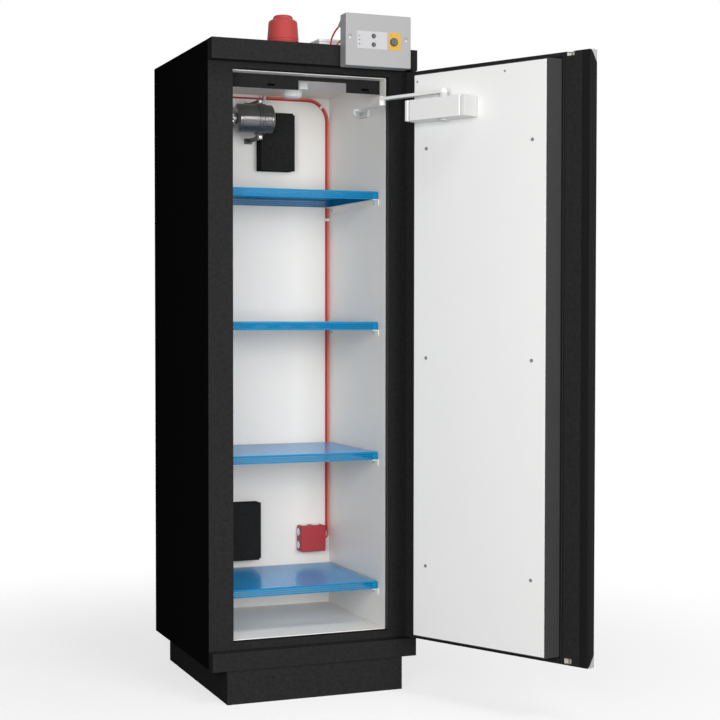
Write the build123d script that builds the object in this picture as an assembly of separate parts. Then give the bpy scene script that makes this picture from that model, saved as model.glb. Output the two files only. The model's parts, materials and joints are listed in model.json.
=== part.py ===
from build123d import *
import os
from math import atan2, cos, degrees, hypot, pi, radians, sin, tan

os.makedirs("parts", exist_ok=True)

# All lengths are in millimetres and all angles in degrees.
# X runs to the right of the front, Y to the back and Z up.
# The origin is the centre of the footprint, on the floor.

# Cabinet body
width = 600.0
depth = 615.0
height = 1804.0
sheet = 2.0
thin_sheet = 1.5
side_wall = 70.0
floor_wall = 70.0
roof_wall = 74.0
rear_wall = 102.5
rear_flange = 20.0
fascia_depth = 36.0
top_fascia_height = 57.0
bottom_fascia_height = 50.0
jamb_depth = 26.0
seal_thickness = 1.5
seal_width = 18.0
seal_setback = 4.5
seal_top_gap = 65.0
seal_lift = 3.0

# Plinth and levelling feet
plinth_height = 93.0
plinth_side_inset = 42.0
plinth_front_inset = 4.0
plinth_rear_inset = 8.0
plinth_flange = 20.0
foot_pad_radius = 20.0
foot_pad_height = 8.0
foot_stud_radius = 5.0
foot_nut_radius = 9.0
foot_nut_height = 8.0
foot_gap = 5.0

# Header plate under the ceiling
header_drop = 39.0
header_strip = 12.0
header_flange = 20.0
header_gap = 0.5
header_setback = 65.5
notch_left = -18.5
notch_margin = 103.0
header_slot_length = 24.0
header_slot_width = 7.0
header_slot_left = -99.0
header_slot_margin = 45.0
header_slot_drop = 28.0

# Shelf pans and their rails
shelf_count = 4
first_shelf_rise = 130.5
top_shelf_room = 314.0
shelf_lip = 23.0
shelf_side_gap = 3.0
shelf_setback = 47.5
shelf_rear_gap = 28.0
shelf_bend = 3.0
rail_leg = 18.0
rail_overhang = 1.5
rail_tail = 7.0
rail_screw_inset = 31.5
rail_screw_tail = 10.0
rail_screw_radius = 4.0
rail_screw_head = 2.5

# Ventilation covers on the back wall
vent_projection = 50.0
vent_height = 175.0
vent_notch = 5.0
upper_vent_left = -9.0
upper_vent_width = 107.0
upper_vent_drop = 57.0
lower_vent_left = -118.0
lower_vent_width = 107.0
lower_vent_rise = 151.0

# Exhaust spigot on the roof
spigot_radius = 37.5
spigot_length = 45.0
spigot_wall = 2.0
spigot_setback = 87.5
spigot_flange_radius = 52.0
spigot_flange = 2.0

# Extinguisher canister
canister_radius = 43.5
canister_left = -112.0
canister_length = 113.5
canister_standoff = 115.0
canister_drop = 88.0
canister_shoulder = 6.0
canister_taper = 4.0
canister_neck_radius = 31.0
canister_tail_radius = 38.0
head_radius = 18.0
head_length = 38.0
head_ribs = 12
head_groove_radius = 2.5
head_plain = 6.0
band_centre = -35.0
band_width = 24.0
band_thickness = 2.0
band_ear = 15.0
band_ear_thickness = 3.0
bracket_thickness = 3.0
bracket_foot = 26.0
bolt_head_radius = 5.0
bolt_head = 4.0

# Smoke detector
detector_x = 36.0
detector_y = 0.0
detector_radius = 30.0
detector_face_radius = 27.0
detector_drop = 34.0
detector_base = 12.0
holder_left = 16.0
holder_right = 43.0
holder_reach = 115.0
holder_length = 30.0
holder_drop = 22.0
strut_width = 8.0
strut_drop = 10.0

# Socket box low on the back wall
socket_margin = 26.0
socket_width = 80.0
socket_rise = 165.0
socket_height = 80.0
socket_depth = 42.0
socket_lid_depth = 12.0
socket_round = 5.0
membrane_radius = 12.0
membrane_height = 3.0
side_membrane_rises = (20.0, 60.0)
top_membrane_offsets = (17.0, 54.0)

# Cables inside
cable_radius = 2.7
cable_gap = 0.3
cable_spacing = 6.0
cable_bend = 62.0
red_cable_margin = 11.0
grommet_margin = 48.0
grommet_size = 16.0
orange_start_x = 8.0
red_entry_rise = 52.0
orange_entry_rise = 34.0
red_entry_bend = 12.0
orange_entry_bend = 14.0
clip_length = 8.0
clip_thickness = 1.5
clip_x = 16.0

# Siren on the roof
siren_x = -64.0
siren_setback = 102.5
siren_radius = 45.5
siren_shoulder_radius = 40.0
siren_height = 74.0
siren_base_height = 20.0
siren_cap_radius = 28.0
siren_cap_height = 15.0
siren_groove = 1.5

# Junction box on the roof
roof_box_left = 45.0
roof_box_width = 80.0
roof_box_setback = 107.5
roof_box_depth = 100.0
roof_box_height = 35.0
roof_box_lid = 9.0
roof_box_lid_inset = 1.0

# Leads on the roof
lead_radius = 2.5
lead_offset = 3.0
red_lead_exit = (15.5, 55.2)
red_lead_route = ((45.5, 47.5), (71.5, 34.0))
red_lead_drop = 13.0
roof_grommet_setback = 81.5
roof_grommet_size = 24.0
roof_grommet_height = 10.0
orange_lead_route = (17.5, 37.5)
orange_lead_rise = 13.0
orange_lead_lift = 5.0
gland_base_radius = 11.0
gland_tip_radius = 4.0
gland_offset = 12.0
gland_rise = 129.0

# Control panel on the top fascia
panel_margin = 38.0
panel_width = 194.0
panel_drop = 60.0
panel_height = 143.0
panel_depth = 41.0
panel_wall = 2.5
panel_cover = 4.0
panel_round = 3.0
plate_thickness = 0.5
white_plate_inset = 33.0
white_plate_width = 90.0
yellow_plate_inset = 127.0
yellow_plate_width = 36.0
plate_rise = 48.0
plate_height = 48.0
plate_margin = 1.0
panel_screw_insets = (12.4, 179.1)
panel_screw_rise = 75.0
panel_screw_radius = 3.5
lamp_inset = 39.4
lamp_rises = (59.7, 71.4, 82.6)
lamp_radius = 2.0
lamp_height = 1.0
button_inset = 82.3
button_rises = (83.5, 60.0)
button_radius = 6.25
button_stand = 3.0
button_flange_radius = 8.0
button_flange = 2.0
key_inset = 142.4
key_rise = 70.4
key_barrel_radius = 9.5
key_barrel_stand = 5.0
key_barrel_tail = 12.0
key_core_radius = 6.0
key_slot_width = 1.6
key_slot_length = 8.0
key_slot_depth = 3.0

# Door
door_left_gap = 13.0
door_right_gap = 1.0
door_thickness = 29.0
door_top_gap = 6.0
door_bottom_gap = 5.0
plug_depth = 62.0
plug_side_gap = 4.0
plug_taper = 4.0
plug_gap_below = 4.0
plug_gap_above = 6.0
plug_sheet = 2.0
gasket_width = 10.0
gasket_height = 5.5
grip_width = 29.0
grip_round = 6.0
grip_wall = 3.0
grip_cut = 38.0
pocket_width = 26.0
pocket_height = 14.0
pocket_depth = 9.0
door_screw_radius = 5.0
door_screw_head = 2.0
door_screw_inset = 49.0
door_screw_end_insets = (203.0, 209.0)
small_screw_radius = 3.0
small_screw_insets = (17.0, 314.0)
small_screw_drop = 24.0

# Hinge
hinge_inset = 8.0
hinge_setback = 9.5
open_angle = 116.5
pin_radius = 5.0
pin_clearance = 0.05
pin_engagement = 6.0
collar_radius = 7.0
running_gap = 0.3
pivot_plate_length = 36.0
pivot_plate_half_width = 7.0

# Latch
latch_inset = 37.0
latch_depth = 14.5
latch_rod_radius = 5.0
latch_clearance = 0.05
channel_clearance = 0.6
latch_setback = 3.0
latch_travel = 20.0
lock_case_low = 900.0
lock_case_high = 1060.0
lock_case_half_width = 24.0
lock_case_depth = 20.0
rod_insertion = 30.0
handle_z = 1010.0
handle_hub_radius = 14.0
handle_hub_length = 22.0
handle_lever_length = 120.0
handle_lever_width = 18.0
handle_lever_thickness = 9.0
handle_spindle_radius = 5.0
handle_spindle_depth = 12.0
rosette_radius = 20.0
rosette_thickness = 4.0
core_rosette_radius = 14.0
core_z = 950.0
core_radius = 7.0
core_collar_radius = 10.0
core_stand = 3.0

# Door closer
spindle_inset = 92.0
spindle_standoff = 33.5
shoe_standoff = 30.0
shoe_setback = 149.5
closer_margin = 20.0
closer_length = 206.0
closer_projection = 60.0
closer_drop = 138.0
closer_height = 56.0
closer_round = 6.0
boss_radius = 13.0
boss_height = 12.7
arm_thickness = 8.0
arm_width = 22.0
arm_tip_width = 18.0
arm_screw_radius = 7.0
arm_screw_height = 4.0
elbow_radius = 10.0
elbow_height = 14.0
elbow_pin_radius = 4.0
forearm_radius = 4.0
eye_radius = 9.0
eye_height = 9.0
shoe_pin_radius = 4.0
shoe_pin_clearance = 0.4
shoe_pin_head_radius = 7.0
shoe_pin_head = 2.5
shoe_thickness = 6.0
shoe_length = 60.0
shoe_height = 28.0
shoe_lug_thickness = 5.7
shoe_lug_half_width = 11.0
shoe_lug_drop = 16.0

# Places that follow from the sizes above
half_width = width / 2
front_y = -depth / 2
back_y = depth / 2
frame_y = front_y + fascia_depth
liner_front_y = frame_y + jamb_depth
wall_y = back_y - rear_wall
top_fascia_z = height - top_fascia_height
bottom_fascia_z = plinth_height + bottom_fascia_height
opening_half = half_width - side_wall
opening_low = plinth_height + floor_wall
opening_high = height - roof_wall
inner_half = opening_half - sheet
inner_floor = opening_low + sheet
ceiling = opening_high - sheet
header_y = frame_y + header_setback
shelf_half = inner_half - shelf_side_gap
shelf_front = liner_front_y + shelf_setback
shelf_back = wall_y - shelf_rear_gap
first_shelf_top = opening_low + first_shelf_rise
shelf_pitch = (ceiling - top_shelf_room - first_shelf_top) / (shelf_count - 1)
shelf_tops = [first_shelf_top + index * shelf_pitch for index in range(shelf_count)]
notch_right = inner_half - notch_margin
header_slot_right = inner_half - header_slot_margin
upper_vent_bottom = ceiling - upper_vent_drop - vent_height
lower_vent_bottom = inner_floor + lower_vent_rise
spigot_y = back_y - spigot_setback
canister_y = wall_y - canister_standoff
canister_z = ceiling - canister_drop
holder_front = detector_y - holder_reach
socket_right = inner_half - socket_margin
socket_left = socket_right - socket_width
socket_bottom = inner_floor + socket_rise
side_membrane_heights = [socket_bottom + rise for rise in side_membrane_rises]
top_membrane_places = [socket_left + offset_x for offset_x in top_membrane_offsets]
red_entry_z = socket_bottom + red_entry_rise
orange_entry_z = socket_bottom + orange_entry_rise
red_cable_x = inner_half - red_cable_margin
grommet_x = grommet_margin - inner_half
cable_y = wall_y - cable_gap - cable_radius
red_cable_z = ceiling - cable_spacing - cable_radius - cable_gap - clip_thickness - running_gap
orange_cable_z = red_cable_z + cable_spacing
orange_cable_x = red_cable_x + cable_spacing
door_top = top_fascia_z - door_top_gap
door_bottom = bottom_fascia_z + door_bottom_gap
door_back_y = front_y + door_thickness
door_left = door_left_gap - half_width
door_right = half_width - door_right_gap
plug_y = door_back_y + plug_depth
plug_low = opening_low + plug_gap_below
plug_high = opening_high - plug_gap_above
plug_base_half = opening_half - plug_side_gap
door_screw_half_span = plug_base_half - door_screw_inset
lowest_screw_z = plug_low + door_screw_end_insets[0]
highest_screw_z = plug_high - door_screw_end_insets[1]
door_screw_heights = (lowest_screw_z, (lowest_screw_z + highest_screw_z) / 2, highest_screw_z)
small_screw_places = [plug_base_half - inset for inset in small_screw_insets]
small_screw_z = plug_high - small_screw_drop
hinge_x = half_width - hinge_inset
hinge_y = front_y + hinge_setback
latch_x = door_left + latch_inset
latch_y = front_y + latch_depth
siren_y = front_y + siren_setback
roof_box_front = front_y + roof_box_setback
roof_grommet_y = front_y + roof_grommet_setback
orange_lead_top = height + orange_lead_rise
panel_right = half_width - panel_margin
panel_left = panel_right - panel_width
panel_bottom = height - panel_drop
panel_front_y = front_y - panel_depth
panel_top = panel_bottom + panel_height
white_plate_left = panel_left + white_plate_inset
yellow_plate_left = panel_left + yellow_plate_inset
plate_bottom = panel_bottom + plate_rise
panel_screw_places = [panel_left + inset for inset in panel_screw_insets]
panel_screw_z = panel_bottom + panel_screw_rise
lamp_x = panel_left + lamp_inset
lamp_heights = [panel_bottom + rise for rise in lamp_rises]
button_x = panel_left + button_inset
button_heights = [panel_bottom + rise for rise in button_rises]
key_x = panel_left + key_inset
key_z = panel_bottom + key_rise
lead_x = panel_left + lead_offset
gland_base_x = panel_left + gland_offset
gland_base_z = panel_bottom + gland_rise
closer_left = plug_base_half - closer_margin - closer_length
closer_bottom = plug_high - closer_drop
spindle_x = closer_left + spindle_inset
spindle_y = plug_y + spindle_standoff
shoe_x = inner_half - shoe_standoff
shoe_y = liner_front_y + shoe_setback
arm_length = hypot(shoe_x - hinge_x, shoe_y - hinge_y)
closer_top = closer_bottom + closer_height
arm_low = closer_top + boss_height + running_gap
forearm_z = arm_low - running_gap - elbow_height / 2 - 0.35
siren_cap_z = height + siren_height


def block(x, y, z):
    """Box between the low and high limits given for each axis."""
    size = Box(x[1] - x[0], y[1] - y[0], z[1] - z[0])
    return Pos((x[0] + x[1]) / 2, (y[0] + y[1]) / 2, (z[0] + z[1]) / 2) * size


def bar(radius, start, end):
    """Round bar between two points."""
    axis = Vector(*end) - Vector(*start)
    base = Plane(origin=start, z_dir=axis)
    return base * Cylinder(radius, axis.length, align=(Align.CENTER, Align.CENTER, Align.MIN))


def upright(radius, x, y, low, high):
    """Vertical round bar."""
    return bar(radius, (x, y, low), (x, y, high))


def facing(radius, x, z, front, back):
    """Round bar along the depth axis."""
    return bar(radius, (x, front, z), (x, back, z))


def headed(radius, start, end):
    """Screw head: a low round bar with its far edge rounded."""
    head = bar(radius, start, end)
    thickness = (Vector(*end) - Vector(*start)).length
    far_edge = head.edges().sort_by_distance(Vector(*end))[0]
    return fillet(far_edge, thickness * 0.6)


def both_sides(solid):
    """The solid and its mirror image on the other side of the cabinet."""
    return [solid, mirror(solid, Plane.YZ)]


def save(name, solids):
    """Writes one node, which may hold several separate solids."""
    if not isinstance(solids, list):
        solids = [solids]
    parts = [piece for solid in solids for piece in solid.solids()]
    export_step(Compound(children=parts), f"parts/{name}.step")


def opened(solid):
    """Turns a solid modelled on the closed door to the open rest pose."""
    axis = Pos(hinge_x, hinge_y, 0)
    return axis * Rot(0, 0, open_angle) * axis.inverse() * solid


def save_on_door(name, solids):
    """Writes a node that is modelled on the closed door."""
    if not isinstance(solids, list):
        solids = [solids]
    save(name, [opened(solid) for solid in solids])


def bend_radii(points):
    """Arc radius for each corner of a free lead, as large as its two runs allow."""
    radii = []
    for before, corner, after in zip(points, points[1:], points[2:]):
        run_in = Vector(*corner) - Vector(*before)
        run_out = Vector(*after) - Vector(*corner)
        half_turn = radians(run_in.get_angle(run_out)) / 2
        radii.append(0.45 * min(run_in.length, run_out.length) / tan(half_turn))
    return radii


def cord(name, points, radius, radii):
    """Round cord along straight runs joined by tangent arcs."""
    print(name, "radii", [round(value, 1) for value in radii])
    path = FilletPolyline(*points, radius=radii)
    start = Plane(origin=path @ 0, z_dir=path % 0)
    return sweep(start * Circle(radius), path=path)


# Cabinet body


def outer_shell():
    """Side panels with rear flanges, roof panel, rear panel and the deck under the boards."""
    wall = block((half_width - sheet, half_width), (frame_y + sheet, back_y), (plinth_height, height))
    flange = block(
        (half_width - rear_flange, half_width - sheet),
        (back_y - 2 * sheet, back_y - sheet),
        (plinth_height + sheet, height - sheet),
    )
    x = (sheet - half_width, half_width - sheet)
    y = (frame_y + sheet, back_y)
    roof = block(x, y, (height - sheet, height))
    rear = block(x, (back_y - sheet, back_y), (plinth_height + sheet, height - sheet))
    deck = block(x, y, (plinth_height, plinth_height + sheet))
    save("outer_shell", both_sides(wall + flange) + [roof, rear, deck])


def fire_boards():
    """Insulating boards between the steel panels and the liner."""
    low = plinth_height + sheet
    high = height - sheet
    outer = half_width - sheet
    board_y = (liner_front_y, wall_y + sheet)
    side = block((opening_half, outer), board_y, (low, high))
    floor = block((-opening_half, opening_half), board_y, (low, opening_low))
    roof = block((-opening_half, opening_half), board_y, (opening_high, high))
    rear = block((-outer, outer), (wall_y + sheet, back_y - 2 * sheet), (low, high))
    save("fire_boards", both_sides(side) + [floor, roof, rear])


def inner_liner():
    outer = block((-opening_half, opening_half), (liner_front_y, wall_y + sheet), (opening_low, opening_high))
    hollow = block((-inner_half, inner_half), (liner_front_y - sheet, wall_y), (inner_floor, ceiling))
    save("inner_liner", outer - hollow)


def front_frame():
    """Face plate with flanges that turn back round the door opening."""
    face = block((-half_width, half_width), (frame_y, frame_y + sheet), (plinth_height, height))
    flange_x = opening_half + sheet
    flanges = block(
        (-flange_x, flange_x),
        (frame_y + sheet, liner_front_y),
        (opening_low - sheet, opening_high + sheet),
    )
    opening = block(
        (-opening_half, opening_half),
        (frame_y - sheet, liner_front_y + sheet),
        (opening_low, opening_high),
    )
    save("front_frame", face + flanges - opening)
    strip = block(
        (opening_half - seal_thickness, opening_half),
        (frame_y + seal_setback, frame_y + seal_setback + seal_width),
        (opening_low + seal_lift, opening_high - seal_top_gap),
    )
    save("jamb_seal", both_sides(strip))


def fascia(low, high, holes):
    """Folded box open at the back, with holes for the pivot pin and the shoot bolt."""
    outer = block((-half_width, half_width), (front_y, frame_y), (low, high))
    hollow = block(
        (sheet - half_width, half_width - sheet),
        (front_y + sheet, frame_y + sheet),
        (low + sheet, high - sheet),
    )
    pivot_hole = upright(pin_radius + pin_clearance, hinge_x, hinge_y, *holes)
    bolt_hole = upright(latch_rod_radius + 1, latch_x, latch_y, *holes)
    return outer - hollow - pivot_hole - bolt_hole


def fascias():
    low_holes = (bottom_fascia_z - 2 * sheet, bottom_fascia_z + sheet)
    high_holes = (top_fascia_z - sheet, top_fascia_z + 2 * sheet)
    save("top_fascia", fascia(top_fascia_z, height, high_holes))
    save("bottom_fascia", fascia(plinth_height, bottom_fascia_z, low_holes))


def plinth_and_feet():
    side = half_width - plinth_side_inset
    front = front_y + plinth_front_inset
    back = back_y - plinth_rear_inset
    skirt = block((-side, side), (front, back), (0, plinth_height))
    hollow = block(
        (sheet - side, side - sheet),
        (front + sheet, back - sheet),
        (sheet, plinth_height - sheet),
    )
    clear = block(
        (plinth_flange - side, side - plinth_flange),
        (front + plinth_flange, back - plinth_flange),
        (-sheet, plinth_height + sheet),
    )
    save("plinth", skirt - hollow - clear)
    inset = plinth_flange + foot_gap + foot_pad_radius
    stud_top = plinth_height
    feet = []
    for y in (front + inset + plinth_flange, back - inset):
        pad = upright(foot_pad_radius, side - inset, y, 0, foot_pad_height)
        pad = chamfer(pad.edges().group_by(Axis.Z)[-1], foot_pad_height / 3)
        stud = upright(foot_stud_radius, side - inset, y, foot_pad_height, stud_top)
        nut_base = Pos(side - inset, y, stud_top - foot_nut_height)
        nut = nut_base * extrude(RegularPolygon(foot_nut_radius, 6), foot_nut_height)
        feet += both_sides(pad + stud + nut)
    save("levelling_feet", feet)


def header_plate():
    """Black plate that hangs from the ceiling behind the top of the opening."""
    half = inner_half - header_gap
    low = ceiling - header_drop
    sheet_y = (header_y, header_y + sheet)
    cut_y = (header_y - sheet, header_y + 2 * sheet)
    face = block((-half, half), sheet_y, (low, ceiling))
    flange = block((-half, half), (header_y, header_y + header_flange), (ceiling - sheet, ceiling))
    notch = block((notch_left, notch_right), cut_y, (low - sheet, ceiling - header_strip))
    plate = face + flange - notch
    for x in (header_slot_left, header_slot_right):
        outline = SlotOverall(header_slot_length, header_slot_width)
        base = Plane(origin=(x, cut_y[0], ceiling - header_slot_drop), x_dir=(1, 0, 0), z_dir=(0, 1, 0))
        plate -= extrude(base * outline, cut_y[1] - cut_y[0])
    save("header_plate", plate)


# Shelves


def shelf_pan(top):
    """Sheet pan turned down on all four sides, with bent top edges."""
    outer = block((-shelf_half, shelf_half), (shelf_front, shelf_back), (top - shelf_lip, top))
    outer = fillet(outer.edges().group_by(Axis.Z)[-1], shelf_bend)
    inside = shelf_half - thin_sheet
    hollow = block(
        (-inside, inside),
        (shelf_front + thin_sheet, shelf_back - thin_sheet),
        (top - shelf_lip - thin_sheet, top - thin_sheet),
    )
    hollow = fillet(hollow.edges().group_by(Axis.Z)[-1], shelf_bend - thin_sheet)
    return outer - hollow


def shelves():
    """Shelf pans and the rails under them. Gives back the heads of the rail screws."""
    rail_y = (shelf_front - rail_overhang, shelf_back + rail_tail)
    screw_ys = (rail_y[0] + rail_screw_inset, rail_y[1] - rail_screw_tail)
    leg_x = inner_half - sheet
    rails = []
    screws = []
    for number, top in enumerate(shelf_tops, 1):
        save(f"shelf_{number}", shelf_pan(top))
        seat = top - shelf_lip
        flat = block((inner_half - rail_leg, inner_half), rail_y, (seat - sheet, seat))
        leg = block((leg_x, inner_half), rail_y, (seat - rail_leg, seat))
        rails += both_sides(flat + leg)
        screw_z = seat - (rail_leg + sheet) / 2
        for y in screw_ys:
            head = headed(rail_screw_radius, (leg_x, y, screw_z), (leg_x - rail_screw_head, y, screw_z))
            screws += both_sides(head)
    save("shelf_rails", rails)
    return screws


# Fittings on the walls and under the ceiling


def vent_cover(left, wide, bottom, notch_low, notch_high):
    """Box cover open towards the wall, with one front corner notched."""
    right = left + wide
    top = bottom + vent_height
    front = wall_y - vent_projection
    outer = block((left, right), (front, wall_y), (bottom, top))
    notch_x = (right - vent_notch, right + sheet)
    outer -= block(notch_x, (front - sheet, wall_y + sheet), (notch_low, notch_high))
    wall = thin_sheet
    inner = block((left + wall, right - wall), (front + wall, wall_y + sheet), (bottom + wall, top - wall))
    inner -= block(
        (right - vent_notch - wall, right + sheet),
        (front, wall_y + 2 * sheet),
        (notch_low - wall, notch_high + wall),
    )
    return outer - inner


def vent_covers():
    upper_top = upper_vent_bottom + vent_height
    upper = vent_cover(
        upper_vent_left,
        upper_vent_width,
        upper_vent_bottom,
        upper_top - vent_notch,
        upper_top + sheet,
    )
    lower = vent_cover(
        lower_vent_left,
        lower_vent_width,
        lower_vent_bottom,
        lower_vent_bottom - sheet,
        lower_vent_bottom + vent_notch,
    )
    save("vent_covers", [upper, lower])


def exhaust_spigot():
    flange = upright(spigot_flange_radius, 0, spigot_y, height, height + spigot_flange)
    tube = upright(spigot_radius, 0, spigot_y, height, height + spigot_length)
    bore = upright(spigot_radius - spigot_wall, 0, spigot_y, height - sheet, height + spigot_length + sheet)
    save("exhaust_spigot", flange + tube - bore)


def across(radius, left, right):
    """Round bar on the canister's axis."""
    return bar(radius, (left, canister_y, canister_z), (right, canister_y, canister_z))


def canister():
    """Extinguishing canister lying across the cabinet, with its ribbed head."""
    right = canister_left + canister_length
    outline = Polyline(
        (canister_left, 0),
        (canister_left, canister_neck_radius),
        (canister_left + canister_shoulder, canister_radius),
        (right - canister_taper, canister_radius),
        (right, canister_tail_radius),
        (right, 0),
        close=True,
    )
    profile = make_face(outline)
    rims = [vertex for vertex in profile.vertices() if vertex.Y > canister_radius - 1]
    profile = fillet(rims, canister_shoulder / 3)
    body = revolve(profile, Axis.X)
    save("canister_body", Pos(0, canister_y, canister_z) * body)

    head = across(head_radius, canister_left - head_length, canister_left)
    grooves = []
    for index in range(head_ribs):
        turn = 2 * pi * index / head_ribs
        y = canister_y + head_radius * cos(turn)
        z = canister_z + head_radius * sin(turn)
        groove_end = (canister_left - head_plain, y, z)
        grooves.append(bar(head_groove_radius, (canister_left - head_length, y, z), groove_end))
    save("canister_head", head - grooves)


def canister_mount():
    """Clamp band with ears above and below, two bolts and two bracket arms."""
    left = band_centre - band_width / 2
    right = band_centre + band_width / 2
    outer_radius = canister_radius + band_thickness
    band = across(outer_radius, left, right) - across(canister_radius, left - 1, right + 1)
    solids = []
    for side in (1, -1):
        ear_low = canister_radius + band_thickness / 2
        ear_high = outer_radius + band_ear
        z = sorted((canister_z + side * ear_low, canister_z + side * ear_high))
        ear_y = (canister_y - band_ear_thickness, canister_y + band_ear_thickness)
        ear = block((left + 3, right - 3), ear_y, z)
        band += ear - across(canister_radius, left - 1, right + 1)
        foot_z = sorted((canister_z + side * outer_radius, canister_z + side * (ear_high + 2)))
        arm_y = (ear_y[1], wall_y)
        arm_x = (band_centre - bracket_thickness / 2, band_centre + bracket_thickness / 2)
        arm_z = sorted((canister_z + side * (outer_radius + 1), canister_z + side * ear_high))
        arm = block(arm_x, arm_y, arm_z)
        foot_x = (band_centre - bracket_foot / 2, band_centre + bracket_foot / 2)
        foot = block(foot_x, (wall_y - bracket_thickness, wall_y), foot_z)
        solids.append(arm + foot)
        bolt_z = canister_z + side * (outer_radius + band_ear / 2)
        solids.append(facing(bolt_head_radius, band_centre, bolt_z, ear_y[0] - bolt_head, ear_y[0]))
    save("canister_mount", [band] + solids)


def smoke_detector():
    """Round detector under the ceiling with its cable holder in front."""
    base = upright(detector_radius, detector_x, detector_y, ceiling - detector_base, ceiling)
    low_plane = Plane(origin=(detector_x, detector_y, ceiling - detector_drop))
    high_plane = Plane(origin=(detector_x, detector_y, ceiling - detector_base))
    dome = loft([low_plane * Circle(detector_face_radius), high_plane * Circle(detector_radius)])
    dome = fillet(dome.edges().group_by(Axis.Z)[0], detector_base / 2)
    holder_back = holder_front + holder_length
    holder = block((holder_left, holder_right), (holder_front, holder_back), (ceiling - holder_drop, ceiling))
    holder = fillet(holder.edges().group_by(Axis.Z)[0], 2)
    strut = block(
        (detector_x - strut_width / 2, detector_x + strut_width / 2),
        (holder_back, detector_y - detector_radius + 1),
        (ceiling - strut_drop, ceiling),
    )
    strut -= base
    save("smoke_detector", [base + dome, holder + strut])


def socket_box():
    front = wall_y - socket_depth
    lid_back = front + socket_lid_depth
    x = (socket_left, socket_right)
    z = (socket_bottom, socket_bottom + socket_height)
    box = block(x, (lid_back, wall_y), z)
    box = fillet(box.edges().filter_by(Axis.Y), socket_round)
    lid = block(x, (front, lid_back), z)
    lid = fillet(lid.edges().filter_by(Axis.Y), socket_round)
    lid = fillet(lid.edges().group_by(Axis.Y)[0], socket_round / 2)
    save("socket_box", box)
    save("socket_box_lid", lid)
    middle = (lid_back + wall_y) / 2
    membranes = []
    for height_z in side_membrane_heights:
        start = (socket_left, middle, height_z)
        membranes.append(headed(membrane_radius, start, (socket_left - membrane_height, middle, height_z)))
    for place in top_membrane_places:
        start = (place, middle, z[1])
        membranes.append(headed(membrane_radius, start, (place, middle, z[1] + membrane_height)))
    save("cable_membranes", membranes)


def cable_clip(x, z, turn):
    """Saddle over both cables, square to their run, seated on the back wall."""
    reach = 2 * cable_radius + cable_gap
    front = wall_y - reach - cable_gap - clip_thickness
    half_channel = cable_spacing / 2 + cable_radius + cable_gap
    half_width_of_clip = half_channel + clip_thickness
    half_length = clip_length / 2
    saddle = block((-half_length, half_length), (front, wall_y), (-half_width_of_clip, half_width_of_clip))
    channel = block(
        (-half_length - 1, half_length + 1),
        (front + clip_thickness, wall_y + 1),
        (-half_channel, half_channel),
    )
    return Pos(x, 0, z) * Rot(0, turn, 0) * (saddle - channel)


def cables():
    """Two cables held flat on the back wall, from the ceiling to the socket box."""
    red_points = [
        (grommet_x, cable_y, red_cable_z),
        (red_cable_x, cable_y, red_cable_z),
        (red_cable_x, cable_y, red_entry_z),
        (socket_right, cable_y, red_entry_z),
    ]
    orange_points = [
        (orange_start_x, cable_y, orange_cable_z),
        (orange_cable_x, cable_y, orange_cable_z),
        (orange_cable_x, cable_y, orange_entry_z),
        (socket_right, cable_y, orange_entry_z),
    ]
    red_radii = [cable_bend, red_entry_bend]
    orange_radii = [cable_bend + cable_spacing, orange_entry_bend]
    save("red_cable", cord("red_cable", red_points, cable_radius, red_radii))
    save("orange_cable", cord("orange_cable", orange_points, cable_radius, orange_radii))
    red_grommet = block(
        (grommet_x - grommet_size, grommet_x),
        (wall_y - grommet_size, wall_y),
        (red_cable_z - grommet_size / 2, red_cable_z + grommet_size / 2),
    )
    orange_grommet = block(
        (orange_start_x - grommet_size / 2, orange_start_x),
        (wall_y - grommet_size / 2, wall_y),
        (red_cable_z + cable_radius + cable_gap, ceiling),
    )
    middle_z = (red_cable_z + orange_cable_z) / 2
    middle_x = (red_cable_x + orange_cable_x) / 2
    diagonal = (cable_bend + cable_spacing / 2) * (1 - cos(radians(45)))
    bend_clip = cable_clip(middle_x - diagonal, middle_z - diagonal, 45)
    top_clip = cable_clip(clip_x, middle_z, 0)
    side_clips = [cable_clip(middle_x, z, 90) for z in (shelf_tops[-1] - 60, shelf_tops[1] - 60)]
    save("cable_clips", [red_grommet, orange_grommet, top_clip, bend_clip] + side_clips)


# Fittings on the roof


def siren():
    """Round siren: a grooved base, a tapered horn and a small domed cap."""
    base = upright(siren_radius, siren_x, siren_y, height, height + siren_base_height)
    for share in (0.35, 0.7):
        z = height + siren_base_height * share
        ring = upright(siren_radius + 1, siren_x, siren_y, z, z + siren_groove)
        ring -= upright(siren_radius - siren_groove, siren_x, siren_y, z, z + siren_groove)
        base -= ring
    low_plane = Plane(origin=(siren_x, siren_y, height + siren_base_height))
    high_plane = Plane(origin=(siren_x, siren_y, siren_cap_z))
    horn = loft([low_plane * Circle(siren_radius), high_plane * Circle(siren_shoulder_radius)])
    horn = fillet(horn.edges().group_by(Axis.Z)[-1], 5)
    cap = upright(siren_cap_radius, siren_x, siren_y, siren_cap_z, siren_cap_z + siren_cap_height)
    cap = fillet(cap.edges().group_by(Axis.Z)[-1], siren_cap_height * 0.6)
    save("siren", [base, horn + cap])


def roof_box():
    x = (roof_box_left, roof_box_left + roof_box_width)
    y = (roof_box_front, roof_box_front + roof_box_depth)
    seam = height + roof_box_height - roof_box_lid
    box = block(
        (x[0] + roof_box_lid_inset, x[1] - roof_box_lid_inset),
        (y[0] + roof_box_lid_inset, y[1] - roof_box_lid_inset),
        (height, seam),
    )
    lid = block(x, y, (seam, seam + roof_box_lid))
    box = fillet(box.edges().filter_by(Axis.Z), 4)
    lid = fillet(lid.edges().filter_by(Axis.Z), 4)
    lid = fillet(lid.edges().group_by(Axis.Z)[-1], 2)
    save("roof_box", [box, lid])


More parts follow.
